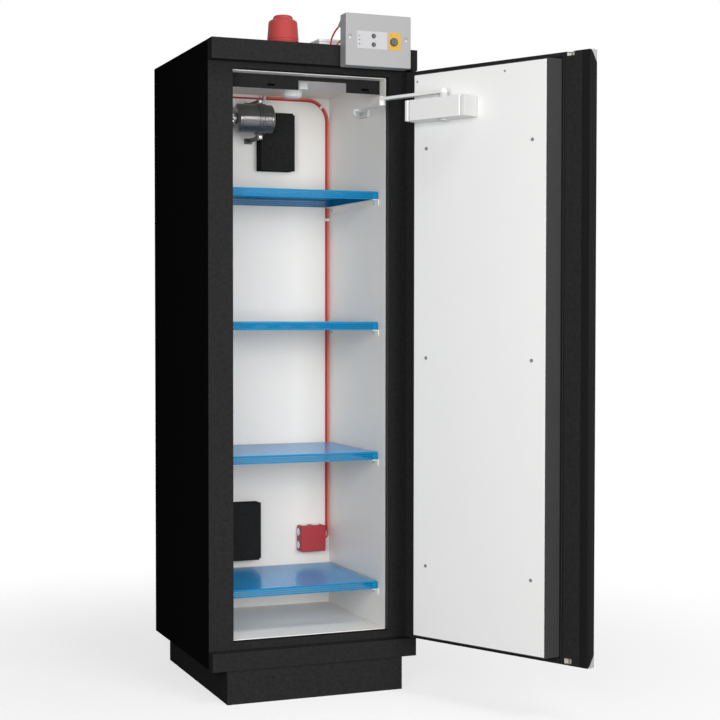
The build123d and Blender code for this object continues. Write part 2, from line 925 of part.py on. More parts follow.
def leads():
    """Two short leads from a grommet on the roof to the back of the control panel."""
    half = roof_grommet_size / 2
    grommet_top = height + roof_grommet_height
    grommet = block(
        (lead_x - half, lead_x + half),
        (roof_grommet_y - half, roof_grommet_y + half),
        (height, grommet_top),
    )
    grommet = fillet(grommet.edges().filter_by(Axis.Z), 5)

    red_bends = (red_lead_exit,) + red_lead_route
    red_places = [(front_y + setback, height + rise) for setback, rise in red_bends]
    red_places += [(roof_grommet_y, grommet_top + red_lead_drop), (roof_grommet_y, grommet_top)]
    red_points = [(lead_x, y, z) for y, z in red_places]
    save("red_lead", cord("red_lead", red_points, lead_radius, bend_radii(red_points)))

    low_z = height + orange_lead_lift
    orange_places = ((front_y, orange_lead_top), (front_y + orange_lead_route[0], orange_lead_top))
    orange_places += ((front_y + orange_lead_route[1], low_z), (roof_grommet_y - half, low_z))
    orange_points = [(lead_x, y, z) for y, z in orange_places]
    save("orange_lead", cord("orange_lead", orange_points, lead_radius, bend_radii(orange_points)))

    exit_point = Vector(*red_points[0])
    run = Vector(*red_points[1]) - exit_point
    base_ring = Plane(origin=(gland_base_x, front_y, gland_base_z), x_dir=(1, 0, 0), z_dir=(0, 1, 0))
    tip_ring = Plane(origin=exit_point, x_dir=(1, 0, 0), z_dir=run)
    gland = loft([base_ring * Circle(gland_base_radius), tip_ring * Circle(gland_tip_radius)])
    save("lead_glands", [grommet, gland])


# Control panel


def control_panel():
    """Box on the top fascia with a cover, plates, lamps, buttons and a key switch.

    Gives back the heads of the cover screws.
    """
    x = (panel_left, panel_right)
    z = (panel_bottom, panel_top)
    cover_back = panel_front_y + panel_cover
    outer = block(x, (cover_back, front_y), z)
    hollow = block(
        (x[0] + panel_wall, x[1] - panel_wall),
        (cover_back - sheet, front_y - panel_wall),
        (z[0] + panel_wall, z[1] - panel_wall),
    )
    save("panel_box", outer - hollow)

    cover = block(x, (panel_front_y, cover_back), z)
    cover = fillet(cover.edges().group_by(Axis.Y)[0], panel_round)
    plate_front = panel_front_y - plate_thickness
    plate_z = (plate_bottom, plate_bottom + plate_height)
    plate_y = (plate_front, panel_front_y)
    white = block((white_plate_left, white_plate_left + white_plate_width), plate_y, plate_z)
    yellow = block((yellow_plate_left, yellow_plate_left + yellow_plate_width), plate_y, plate_z)
    white = fillet(white.edges().filter_by(Axis.Y), plate_margin * 2)
    yellow = fillet(yellow.edges().filter_by(Axis.Y), plate_margin * 2)
    hole_y = (plate_front - 1, cover_back + 1)
    for button_z in button_heights:
        hole = facing(button_radius + pin_clearance, button_x, button_z, *hole_y)
        cover -= hole
        white -= hole
    key_hole = facing(key_barrel_radius, key_x, key_z, *hole_y)
    cover -= key_hole
    yellow -= key_hole
    save("panel_cover", cover)
    save("blank_plates", [white, yellow])

    screws = []
    for screw_x in panel_screw_places:
        start = (screw_x, panel_front_y, panel_screw_z)
        screws.append(headed(panel_screw_radius, start, (screw_x, panel_front_y - 1.5, panel_screw_z)))
    lamps = []
    for lamp_z in lamp_heights:
        start = (lamp_x, plate_front, lamp_z)
        lamps.append(headed(lamp_radius, start, (lamp_x, plate_front - lamp_height, lamp_z)))
    save("panel_lamps", lamps)

    for number, button_z in enumerate(button_heights, 1):
        flange_front = cover_back + running_gap
        flange_back = flange_front + button_flange
        cap = facing(button_radius, button_x, button_z, plate_front - button_stand, flange_back)
        cap = fillet(cap.edges().group_by(Axis.Y)[0], 1)
        flange = facing(button_flange_radius, button_x, button_z, flange_front, flange_back)
        save(f"button_{number}", cap + flange)

    barrel_y = (plate_front - key_barrel_stand, cover_back + key_barrel_tail)
    barrel = facing(key_barrel_radius, key_x, key_z, *barrel_y)
    collar = facing(key_barrel_radius + 2, key_x, key_z, plate_front - key_barrel_stand / 2, plate_front)
    nut = facing(key_barrel_radius + 3, key_x, key_z, cover_back, cover_back + 3)
    bore = facing(key_core_radius + pin_clearance, key_x, key_z, barrel_y[0] - 1, barrel_y[1] + 1)
    save("key_switch_body", barrel + collar + nut - bore)
    core = facing(key_core_radius, key_x, key_z, *barrel_y)
    slot = block(
        (key_x - key_slot_width / 2, key_x + key_slot_width / 2),
        (barrel_y[0] - 1, barrel_y[0] + key_slot_depth),
        (key_z - key_slot_length / 2, key_z + key_slot_length / 2),
    )
    save("key_core", core - slot)
    return screws


# Door, modelled closed


def plug(inset, front, back):
    """Tapered block of the plug, inset from its outer faces, between two depths."""
    rings = []
    for y in (front, back):
        lean = plug_taper * (y - door_back_y) / plug_depth + inset
        half = plug_base_half - lean
        tall = plug_high - plug_low - 2 * lean
        base = Plane(origin=(0, y, (plug_low + plug_high) / 2), x_dir=(1, 0, 0), z_dir=(0, 1, 0))
        rings.append(base * Rectangle(2 * half, tall))
    return loft(rings)


def latch_pockets(front):
    """Two shallow pockets in the inner face of the flange, where the shoot bolts end."""
    pockets = []
    for z in (plug_high + 6, plug_low - pocket_height - 1):
        pockets.append(
            block(
                (latch_x - pocket_width / 2, latch_x + pocket_width / 2 - 3),
                (front, door_back_y + sheet),
                (z, z + pocket_height),
            )
        )
    return pockets


def door_shell():
    """Folded steel skin round the insulating core, and the core with its plug."""
    x = (door_left, door_right)
    z = (door_bottom, door_top)
    outer = block(x, (front_y, door_back_y), z)
    core_flange = block(
        (x[0] + sheet, x[1] - sheet),
        (front_y + sheet, door_back_y - sheet),
        (z[0] + sheet, z[1] - sheet),
    )
    plug_core = plug(plug_sheet, door_back_y - sheet, plug_y - plug_sheet)
    pocket_front = door_back_y - pocket_depth
    pockets = latch_pockets(pocket_front)
    channel = upright(latch_rod_radius + channel_clearance, latch_x, latch_y, z[0] - 1, z[1] + 1)
    spindle_hole = facing(handle_spindle_radius + 1, latch_x, handle_z, front_y - 1, latch_y)
    lock_hole = facing(core_radius + pin_clearance, latch_x, core_z, front_y - 1, front_y + sheet + 1)
    skin = outer - core_flange - plug_core - pockets - channel - spindle_hole - lock_hole
    save_on_door("door_skin", skin)
    case = lock_case_block()
    save_on_door("door_core", core_flange + plug_core - pockets - channel - case)

    rim = plug(0, door_back_y, plug_y) - plug(plug_sheet, door_back_y - 1, plug_y + 1)
    face_inset = plug_sheet
    panel = plug(face_inset, plug_y - plug_sheet, plug_y)
    save_on_door("plug_rim", rim)
    save_on_door("inner_panel", panel)


def lock_case_block():
    case_y = (front_y + sheet, front_y + sheet + lock_case_depth)
    case_x = (latch_x - lock_case_half_width, latch_x + lock_case_half_width)
    return block(case_x, case_y, (lock_case_low, lock_case_high))


def lock_and_bolts():
    """Lock case, the two shoot bolts, the outer handle and the lock cylinder core."""
    case = lock_case_block()
    bore_radius = latch_rod_radius + latch_clearance
    room = latch_travel + rod_insertion
    case -= upright(bore_radius, latch_x, latch_y, lock_case_high - room, lock_case_high + 1)
    case -= upright(bore_radius, latch_x, latch_y, lock_case_low - 1, lock_case_low + room)
    case_front = front_y + sheet
    spindle_end = case_front + handle_spindle_depth
    case -= facing(handle_spindle_radius + pin_clearance, latch_x, handle_z, case_front - 1, spindle_end + 1)
    case -= facing(core_radius + pin_clearance, latch_x, core_z, case_front - 1, spindle_end + 1)
    save_on_door("lock_case", case)

    top_z = (lock_case_high - rod_insertion, door_top - latch_setback)
    bottom_z = (door_bottom + latch_setback, lock_case_low + rod_insertion)
    top_rod = upright(latch_rod_radius, latch_x, latch_y, *top_z)
    bottom_rod = upright(latch_rod_radius, latch_x, latch_y, *bottom_z)
    save_on_door("top_rod", chamfer(top_rod.edges().group_by(Axis.Z)[-1], 1.5))
    save_on_door("bottom_rod", chamfer(bottom_rod.edges().group_by(Axis.Z)[0], 1.5))

    rosette_y = (front_y - rosette_thickness, front_y)
    through_y = (rosette_y[0] - 1, front_y + 1)
    rosette = facing(rosette_radius, latch_x, handle_z, *rosette_y)
    rosette -= facing(handle_spindle_radius + 1, latch_x, handle_z, *through_y)
    core_rosette = facing(core_rosette_radius, latch_x, core_z, *rosette_y)
    core_rosette -= facing(core_radius + pin_clearance, latch_x, core_z, *through_y)
    save_on_door("lock_rosettes", [rosette, core_rosette])

    hub_back = front_y - rosette_thickness - running_gap
    hub_front = hub_back - handle_hub_length
    hub = facing(handle_hub_radius, latch_x, handle_z, hub_front, hub_back)
    spindle = facing(handle_spindle_radius, latch_x, handle_z, hub_back, spindle_end)
    lever = block(
        (latch_x, latch_x + handle_lever_length),
        (hub_front, hub_front + handle_lever_thickness),
        (handle_z - handle_lever_width / 2, handle_z + handle_lever_width / 2),
    )
    lever = fillet(lever.edges().filter_by(Axis.X), 3)
    save_on_door("handle", hub + spindle + lever)

    core = facing(core_radius, latch_x, core_z, front_y - rosette_thickness, spindle_end)
    collar = facing(
        core_collar_radius,
        latch_x,
        core_z,
        front_y - rosette_thickness - running_gap - core_stand,
        front_y - rosette_thickness - running_gap,
    )
    throat = facing(core_radius, latch_x, core_z, front_y - rosette_thickness - running_gap - 1, front_y)
    slot = block(
        (latch_x - key_slot_width / 2, latch_x + key_slot_width / 2),
        (front_y - 20, front_y - rosette_thickness - 1),
        (core_z - key_slot_length / 2, core_z + key_slot_length / 2),
    )
    save_on_door("lock_core", core + throat + collar - slot)


def door_gasket():
    base = (door_back_y, door_back_y + gasket_height)
    half = plug_base_half + gasket_width
    ring = block((-half, half), base, (plug_low - gasket_width, plug_high + gasket_width))
    hole = block(
        (-plug_base_half, plug_base_half),
        (base[0] - 1, base[1] + 1),
        (plug_low, plug_high),
    )
    ring = fillet(ring.edges().group_by(Axis.Y)[-1], 2)
    save_on_door("door_gasket", ring - hole)


def edge_grip():
    """Hollow grip profile along the free edge, its ends cut on a slant and capped."""
    x = (door_left - grip_width, door_left)
    middle = Pos((x[0] + x[1]) / 2, (front_y + door_back_y) / 2)
    outline = Plane.XY * middle * Rectangle(grip_width, door_thickness)
    corners = outline.vertices().sort_by(Axis.X)[:2]
    outline = fillet(corners, grip_round)
    channel = offset(outline, -grip_wall)
    length = door_top - door_bottom
    bar_solid = Pos(0, 0, door_bottom) * extrude(outline, length)
    tube = bar_solid - Pos(0, 0, door_bottom - 1) * extrude(channel, length + 2)
    side = Plane(origin=(x[0] - 1, 0, 0), x_dir=(0, 1, 0), z_dir=(1, 0, 0))
    wedges = []
    for end, inward in ((door_top, -1), (door_bottom, 1)):
        corner = [(door_back_y, end), (front_y, end), (front_y, end + inward * grip_cut)]
        wedge = make_face(side * Polyline(*corner, close=True))
        wedges.append(extrude(wedge, grip_width + 2, dir=(1, 0, 0)))
    save_on_door("edge_grip", tube - wedges)
    save_on_door("grip_caps", [bar_solid & wedge for wedge in wedges])


def door_screws():
    heads = []
    for z in door_screw_heights:
        start = (door_screw_half_span, plug_y, z)
        end = (door_screw_half_span, plug_y + door_screw_head, z)
        heads += both_sides(headed(door_screw_radius, start, end))
    for x in small_screw_places:
        start = (x, plug_y, small_screw_z)
        heads.append(headed(small_screw_radius, start, (x, plug_y + door_screw_head, small_screw_z)))
    save_on_door("door_screws", heads)


def pivot_pins():
    """Pin, collar and fixing plate at the top and the bottom of the door."""
    pins = []
    for edge, stop, way in ((door_top, top_fascia_z, 1), (door_bottom, bottom_fascia_z, -1)):
        plate_z = sorted((edge, edge + way * thin_sheet))
        plate = block(
            (door_right - pivot_plate_length, door_right),
            (hinge_y - pivot_plate_half_width, hinge_y + pivot_plate_half_width),
            plate_z,
        )
        collar = upright(collar_radius, hinge_x, hinge_y, *sorted((edge, stop - way * running_gap)))
        pin = upright(pin_radius, hinge_x, hinge_y, *sorted((edge, stop + way * pin_engagement)))
        pins.append(plate + collar + pin)
    save_on_door("pivot_pins", pins)


# Door closer


def closer_body():
    case_y = (plug_y, plug_y + closer_projection)
    case = block((closer_left, closer_left + closer_length), case_y, (closer_bottom, closer_top))
    case = fillet(case.edges().filter_by(Axis.Z), closer_round)
    boss = upright(boss_radius, spindle_x, spindle_y, closer_top, closer_top + boss_height)
    low_boss = upright(boss_radius, spindle_x, spindle_y, closer_bottom - 5, closer_bottom)
    save_on_door("closer_body", case + boss + low_boss)


def turned(point_x, point_y):
    """A point on the closed door, taken to the open rest pose."""
    turn = radians(open_angle)
    dx = point_x - hinge_x
    dy = point_y - hinge_y
    return (hinge_x + dx * cos(turn) - dy * sin(turn), hinge_y + dx * sin(turn) + dy * cos(turn))


def closer_arms():
    """Main arm from the spindle to the elbow, forearm from the elbow to the shoe.

    The two arms repeat the sides of the parallelogram whose fixed corners are
    the hinge axis and the shoe pin, so each of them keeps its length as the door turns.
    """
    open_x, open_y = turned(spindle_x, spindle_y)
    elbow_x = open_x + shoe_x - hinge_x
    elbow_y = open_y + shoe_y - hinge_y
    arm_high = arm_low + arm_thickness
    heading = degrees(atan2(elbow_y - open_y, elbow_x - open_x))
    taper = Polyline(
        (0, -arm_width / 2),
        (arm_length, -arm_tip_width / 2),
        (arm_length, arm_tip_width / 2),
        (0, arm_width / 2),
        close=True,
    )
    web = extrude(make_face(taper), arm_thickness)
    web += Pos(0, 0, arm_thickness / 2) * Cylinder(arm_width / 2, arm_thickness)
    web += Pos(arm_length, 0, arm_thickness / 2) * Cylinder(arm_tip_width / 2, arm_thickness)
    web += Pos(0, 0, arm_thickness + arm_screw_height / 2) * Cylinder(arm_screw_radius, arm_screw_height)
    pin_hole = Cylinder(elbow_pin_radius + pin_clearance, arm_thickness * 2)
    web -= Pos(arm_length, 0, arm_thickness / 2) * pin_hole
    save("closer_main_arm", Pos(open_x, open_y, arm_low) * Rot(0, 0, heading) * web)

    elbow_top = arm_low - running_gap
    block_low = elbow_top - elbow_height
    elbow = upright(elbow_radius, elbow_x, elbow_y, block_low, elbow_top)
    pin = upright(elbow_pin_radius, elbow_x, elbow_y, elbow_top, arm_high + 2)
    pin_head = upright(elbow_pin_radius + 2, elbow_x, elbow_y, arm_high + running_gap, arm_high + 3)
    eye_z = (forearm_z - eye_height / 2, forearm_z + eye_height / 2)
    eye = upright(eye_radius, shoe_x, shoe_y, *eye_z)
    rod = bar(forearm_radius, (elbow_x, elbow_y, forearm_z), (shoe_x, shoe_y, forearm_z))
    hole = upright(shoe_pin_radius + shoe_pin_clearance, shoe_x, shoe_y, eye_z[0] - 1, eye_z[1] + 1)
    save("closer_forearm", elbow + pin + pin_head + rod + eye - hole)

    lug_low = eye_z[1] + running_gap
    lug_z = (lug_low, lug_low + shoe_lug_thickness)
    plate_x = (inner_half - shoe_thickness, inner_half)
    plate_y = (shoe_y - shoe_length / 2, shoe_y + shoe_length / 2)
    plate = block(plate_x, plate_y, (lug_z[0] - shoe_lug_drop, lug_z[0] - shoe_lug_drop + shoe_height))
    lug_y = (shoe_y - shoe_lug_half_width, shoe_y + shoe_lug_half_width)
    lug = block((shoe_x, plate_x[0]), lug_y, lug_z)
    lug += upright(shoe_lug_half_width, shoe_x, shoe_y, *lug_z)
    head_top = eye_z[0] - running_gap
    shank = upright(shoe_pin_radius, shoe_x, shoe_y, head_top, lug_z[0])
    head = upright(shoe_pin_head_radius, shoe_x, shoe_y, head_top - shoe_pin_head, head_top)
    save("closer_shoe", plate + lug + shank + head)


outer_shell()
fire_boards()
inner_liner()
front_frame()
fascias()
plinth_and_feet()
header_plate()
rail_screws = shelves()
vent_covers()
exhaust_spigot()
canister()
canister_mount()
smoke_detector()
socket_box()
cables()
siren()
roof_box()
leads()
cover_screws = control_panel()
save("cabinet_screws", rail_screws + cover_screws)
door_shell()
lock_and_bolts()
door_gasket()
edge_grip()
door_screws()
pivot_pins()
closer_body()
closer_arms()
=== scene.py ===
"""Looks of a tall battery cabinet with its door open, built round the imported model.

Every length is in metres and every piece stands in the model's own frame. X runs
to the right of the front, Y to the back and Z up. A new piece is a numpy surface:
rings of points, a turned profile, or a sheet of cells, each worked out as arrays.
"""

import json
import logging
from dataclasses import dataclass, field
from enum import Enum
from typing import Callable, Optional, Sequence

import bmesh
import bpy
import numpy as np
from mathutils import Matrix, Vector

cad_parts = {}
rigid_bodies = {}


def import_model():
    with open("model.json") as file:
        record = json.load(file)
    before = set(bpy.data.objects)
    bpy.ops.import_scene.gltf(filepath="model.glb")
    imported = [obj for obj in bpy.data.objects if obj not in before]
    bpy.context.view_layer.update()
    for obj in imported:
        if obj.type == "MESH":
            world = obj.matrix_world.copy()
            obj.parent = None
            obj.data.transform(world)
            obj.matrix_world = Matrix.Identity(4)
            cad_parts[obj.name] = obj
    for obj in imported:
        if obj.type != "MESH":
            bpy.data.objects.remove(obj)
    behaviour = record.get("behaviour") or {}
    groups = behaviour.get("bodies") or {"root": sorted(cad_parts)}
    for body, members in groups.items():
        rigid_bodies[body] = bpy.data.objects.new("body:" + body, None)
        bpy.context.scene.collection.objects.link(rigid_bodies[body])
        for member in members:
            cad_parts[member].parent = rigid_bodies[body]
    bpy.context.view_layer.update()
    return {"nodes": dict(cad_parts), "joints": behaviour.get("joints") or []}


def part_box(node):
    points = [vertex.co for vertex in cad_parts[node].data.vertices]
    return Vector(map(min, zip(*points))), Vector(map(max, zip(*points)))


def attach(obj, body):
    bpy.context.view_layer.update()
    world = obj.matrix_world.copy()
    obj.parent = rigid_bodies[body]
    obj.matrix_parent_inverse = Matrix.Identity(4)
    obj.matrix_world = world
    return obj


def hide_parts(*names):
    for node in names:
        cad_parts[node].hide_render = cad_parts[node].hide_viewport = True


log = logging.getLogger("battery_cabinet")

for stray in list(bpy.data.objects):
    bpy.data.objects.remove(stray)
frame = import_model()

MM = 0.001
Colour = tuple[float, float, float]
Points = np.ndarray
Box = tuple[Points, Points]


class Axis(Enum):
    """Direction that a shape is built along."""

    X = 0
    Y = 1
    Z = 2


def points_of(mesh: bpy.types.Mesh) -> Points:
    """Vertices of a mesh as an array of n points."""
    flat = np.empty(len(mesh.vertices) * 3)
    mesh.vertices.foreach_get("co", flat)
    return flat.reshape(-1, 3)


def box_of(node: str) -> Box:
    """Lowest and highest corner of a node, as arrays."""
    low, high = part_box(node)
    return np.array(low), np.array(high)


@dataclass(frozen=True)
class DoorHinge:
    """Turn of the door between closed, as its pieces are laid out, and open, as it stands."""

    x: float
    y: float
    swing: float

    def turned(self, points: Points, angle: float) -> Points:
        """Turns points about the hinge line.

        Args:
            points: array of n points.
            angle: turn in radians, counter-clockwise seen from above.

        Returns:
            Array of n points.
        """
        dx, dy = points[:, 0] - self.x, points[:, 1] - self.y
        cos, sin = np.cos(angle), np.sin(angle)
        x, y = self.x + dx * cos - dy * sin, self.y + dx * sin + dy * cos
        return np.column_stack((x, y, points[:, 2]))

    def opened(self, points: Points) -> Points:
        """Points on the closed door, taken to the open door."""
        return self.turned(points, self.swing)

    def closed_box(self, node: str) -> Box:
        """Lowest and highest corner of a node as it stands on the closed door."""
        points = self.turned(points_of(frame["nodes"][node].data), -self.swing)
        return points.min(axis=0), points.max(axis=0)


def door_hinge() -> DoorHinge:
    """The hinge as the model's joint gives it."""
    joint = next(row for row in frame["joints"] if row["name"] == "door_hinge")
    return DoorHinge(joint["pos_m"][0], joint["pos_m"][1], np.radians(-joint["range_deg"][0]))


HINGE = door_hinge()


# Surfaces

# Radii from a corner to the point that keeps the flat beside it flat.
FLAT_REACH = 1.6
# Radius of the small ring that closes a turned surface on its axis.
POLE = 0.01 * MM


@dataclass
class Shell:
    """Points and faces of a surface, kept as arrays until the mesh is made.

    Attributes:
        points: array of n points.
        faces: arrays of point numbers, one array for each number of corners.
        smooth: for each array of faces, whether each face is curved.
        worn: for each array of faces, how much each face is an exposed edge, from 0 to 1.
        finish: for each array of faces, the number of each face's finish.
    """

    points: Points
    faces: list[np.ndarray]
    smooth: list[np.ndarray]
    worn: list[np.ndarray]
    finish: list[np.ndarray]

    def __add__(self, other: "Shell") -> "Shell":
        """Both surfaces as one."""
        shift = len(self.points)
        return Shell(
            np.vstack((self.points, other.points)),
            self.faces + [faces + shift for faces in other.faces],
            self.smooth + other.smooth,
            self.worn + other.worn,
            self.finish + other.finish,
        )

    def mapped(self, change: Callable[[Points], Points]) -> "Shell":
        """The surface with its points changed by a function."""
        return Shell(change(self.points), self.faces, self.smooth, self.worn, self.finish)

    def moved(self, x: float = 0, y: float = 0, z: float = 0) -> "Shell":
        """The surface moved along the three axes."""
        return self.mapped(lambda points: points + (x, y, z))

    def finished(self, number: int) -> "Shell":
        """The surface with one finish number on all its faces."""
        numbers = [np.full(len(faces), number) for faces in self.faces]
        return Shell(self.points, self.faces, self.smooth, self.worn, numbers)


def joined(shells: Sequence[Shell]) -> Shell:
    """Several surfaces as one.

    Args:
        shells: one surface or more.

    Returns:
        The surface of them all.
    """
    whole = shells[0]
    for shell in shells[1:]:
        whole = whole + shell
    return whole


def one_group(points: Points, groups: Sequence[tuple[np.ndarray, object, object]]) -> Shell:
    """Makes a surface of groups of faces, each with its smooth and worn values.

    Args:
        points: array of n points.
        groups: (faces, smooth, worn), where the last two are a value or one for each face.

    Returns:
        The surface, with finish 0.
    """
    shell = Shell(points, [], [], [], [])
    for faces, curved, worn in groups:
        faces = np.atleast_2d(faces)
        shell.faces.append(faces)
        shell.smooth.append(np.broadcast_to(np.asarray(curved, bool), len(faces)))
        shell.worn.append(np.broadcast_to(np.asarray(worn, float), len(faces)))
        shell.finish.append(np.zeros(len(faces), int))
    return shell


def volume(shell: Shell) -> float:
    """Volume that a surface encloses, negative where its faces point inwards.

    It is the sum over fans of triangles of a . (b x c) / 6.

    Args:
        shell: the surface.

    Returns:
        The volume in cubic metres.
    """
    total = 0.0
    for faces in shell.faces:
        corners = shell.points[faces]
        for k in range(1, faces.shape[1] - 1):
            total += np.einsum("ij,ij->", corners[:, 0], np.cross(corners[:, k], corners[:, k + 1])) / 6
    return float(total)


def flipped(shell: Shell) -> Shell:
    """The surface with the order of every face's corners turned round."""
    faces = [group[:, ::-1] for group in shell.faces]
    return Shell(shell.points, faces, shell.smooth, shell.worn, shell.finish)


def sound(shell: Shell) -> Shell:
    """The surface with its faces pointing outwards."""
    return shell if volume(shell) > 0 else flipped(shell)


def grid_quads(rows: int, columns: int, round_columns: bool = False) -> np.ndarray:
    """Four-sided faces between neighbouring rows and columns of points.

    Args:
        rows: number of rows of points.
        columns: number of points in a row.
        round_columns: whether the last column joins the first.

    Returns:
        Array of faces, of shape (rows - 1, columns or columns - 1, 4).
    """
    number = np.arange(rows * columns).reshape(rows, columns)
    if round_columns:
        number = np.column_stack((number, number[:, 0]))
    return np.stack((number[:-1, :-1], number[:-1, 1:], number[1:, 1:], number[1:, :-1]), axis=-1)


def stacked(rings: Points, curved: np.ndarray, worn: np.ndarray, ends: bool = True) -> Shell:
    """Closed surface through rings of points, one ring after another along an axis.

    Args:
        rings: array (rings, points in a ring, 3), counter-clockwise seen from the far end.
        curved: array (rings - 1, points in a ring), whether each face is curved.
        worn: array of the same shape, how exposed each face is.
        ends: whether flat faces close the first and the last ring.

    Returns:
        The surface.
    """
    count, around = rings.shape[:2]
    quads = grid_quads(count, around, round_columns=True).reshape(-1, 4)
    groups = [(quads, curved.ravel(), worn.ravel())]
    if ends:
        first = np.arange(around)
        last = (count - 1) * around + first
        groups.append((np.stack((first[::-1], last)), False, 0.0))
    return one_group(rings.reshape(-1, 3), groups)


def rounded_line(corners: Sequence, radius: object, steps: int = 3, closed: bool = False) -> Points:
    """A line of 2-D points with its corners rounded.

    At each corner c, with a and b at the distance `radius` along its two sides, the
    points (1-t)^2 a + 2t(1-t) c + t^2 b are taken for t from 0 to 1. One more point on
    each side, at FLAT_REACH times the radius, keeps the flats beside it flat.

    Args:
        corners: the corner points.
        radius: one radius, or one for each corner.
        steps: faces in a rounded corner.
        closed: whether the line is a closed outline, so that its first point is a corner too.

    Returns:
        Array of 2-D points.
    """
    side_share, spare = 0.49, 1.05
    corner = np.asarray(corners, float)[:, None]
    back, ahead = np.roll(corner, 1, axis=0) - corner, np.roll(corner, -1, axis=0) - corner
    long_back = np.linalg.norm(back, axis=-1, keepdims=True)
    long_ahead = np.linalg.norm(ahead, axis=-1, keepdims=True)
    room = side_share * np.minimum(long_back, long_ahead)
    wished = np.broadcast_to(np.asarray(radius, float), len(corner))[:, None, None]
    radii = np.minimum(wished, room / spare)
    support = np.minimum(FLAT_REACH * radii, room)
    back, ahead = back / long_back, ahead / long_ahead
    start, end = corner + back * radii, corner + ahead * radii
    t = np.linspace(0, 1, steps + 1)[None, :, None]
    arc = (1 - t) ** 2 * start + 2 * t * (1 - t) * corner + t**2 * end
    line = np.concatenate((corner + back * support, arc, corner + ahead * support), axis=1)
    if closed:
        return line.reshape(-1, 2)
    return np.vstack((corner[0], line[1:-1].reshape(-1, 2), corner[-1]))


def line_mm(corners: Sequence, radius: float, steps: int = 2, closed: bool = False) -> Points:
    """A rounded_line whose corners and radius are given in millimetres."""
    return rounded_line(np.asarray(corners, float) * MM, radius * MM, steps, closed)


def bend_mask(corners: int, steps: int) -> np.ndarray:
    """For each face round a closed outline of rounded_line, whether it is in a corner."""
    pattern = np.array([False] + [True] * steps + [False, False])
    return np.tile(pattern, corners)


def placed(a: np.ndarray, b: np.ndarray, along: np.ndarray, axis: Axis) -> Points:
    """Points with two coordinates across an axis and one along it.

    Args:
        a: first coordinate across, the next axis after `axis`.
        b: second coordinate across.
        along: coordinate along the axis.
        axis: the axis.

    Returns:
        Array (..., 3).
    """
    parts = np.broadcast_arrays(a, b, along)
    order = {Axis.X: (2, 0, 1), Axis.Y: (1, 2, 0), Axis.Z: (0, 1, 2)}[axis]
    return np.stack([parts[index] for index in order], axis=-1)


def across(axis: Axis) -> tuple[int, int, int]:
    """Numbers of the two axes across an axis and of the axis itself."""
    return {Axis.X: (1, 2, 0), Axis.Y: (2, 0, 1), Axis.Z: (0, 1, 2)}[axis]


def eased_box(
    low: Sequence[float],
    high: Sequence[float],
    corner: float,
    edge: float,
    axis: Axis = Axis.Z,
    steps: int = 3,
) -> Shell:
    """Box whose four long corners and whose two end rims are rounded.

    A ring is a rectangle with rounded corners. From the first end, ring k is drawn in by
    edge (1 - sin t) at the height edge (1 - cos t) for t from 0 to a right angle, and the
    same is mirrored at the other end.

    Args:
        low: lowest corner.
        high: highest corner.
        corner: radius of the long corners.
        edge: radius of the rims at the two ends.
        axis: the long axis of the rings.
        steps: faces in each rounding.

    Returns:
        The surface.
    """
    first, second, third = across(axis)
    low, high = np.asarray(low, float), np.asarray(high, float)
    half, middle, length = (high - low) / 2, (high + low) / 2, high[third] - low[third]
    turn = np.linspace(0, np.pi / 2, steps + 1)
    inset = np.concatenate(([edge * FLAT_REACH], edge * (1 - np.sin(turn)), [0.0]))
    rise = np.concatenate(([0.0], edge * (1 - np.cos(turn)), [edge * FLAT_REACH]))
    inset = np.concatenate((inset, inset[::-1]))
    rise = np.concatenate((rise, length - rise[::-1]))
    square = np.array([[-1, -1], [1, -1], [1, 1], [-1, 1]])
    sides = np.array((half[first], half[second]))
    unit = rounded_line(square * sides, corner, steps, closed=True)
    tight = rounded_line(square * (sides - edge), max(corner - edge, corner * 0.1), steps, closed=True)
    rings = unit[None] + (tight - unit)[None] * (inset / edge)[:, None, None]
    a, b = middle[first] + rings[..., 0], middle[second] + rings[..., 1]
    rings = placed(a, b, low[third] + rise[:, None], axis)
    bends = bend_mask(4, steps)
    rims = np.array([False] + [True] * steps + [False] * 3 + [True] * steps + [False])
    curved = rims[:, None] | bends[None]
    rim_wear, corner_wear = 1.0, 0.6
    worn = np.where(rims[:, None], rim_wear, corner_wear) * curved
    worn[[0, -1]] = 0
    return stacked(rings, curved, worn)


def layer(
    box: Box,
    inset: float,
    reach: tuple[float, Optional[float]],
    corner: float,
    edge: float,
    axis: Axis = Axis.Y,
    steps: int = 3,
) -> Shell:
    """Eased box over part of a node's box, with its lengths given in millimetres.

    Args:
        box: lowest and highest corner of the node.
        inset: how far the sides along the axis are drawn in.
        reach: start and end along the axis, from the low face. None is the high face.
        corner: radius of the long corners.
        edge: radius of the rims at the two ends.
        axis: the long axis.
        steps: faces in each rounding.

    Returns:
        The surface.
    """
    k, (near, far) = axis.value, reach
    low, high = box[0] + inset * MM, box[1] - inset * MM
    low[k] = box[0][k] + near * MM
    high[k] = box[1][k] if far is None else box[0][k] + far * MM
    return eased_box(low, high, corner * MM, edge * MM, axis, steps)


def unit_rows(rows: np.ndarray) -> np.ndarray:
    """Each row divided by its length."""
    least = 1e-12
    return rows / np.maximum(np.linalg.norm(rows, axis=1), least)[:, None]


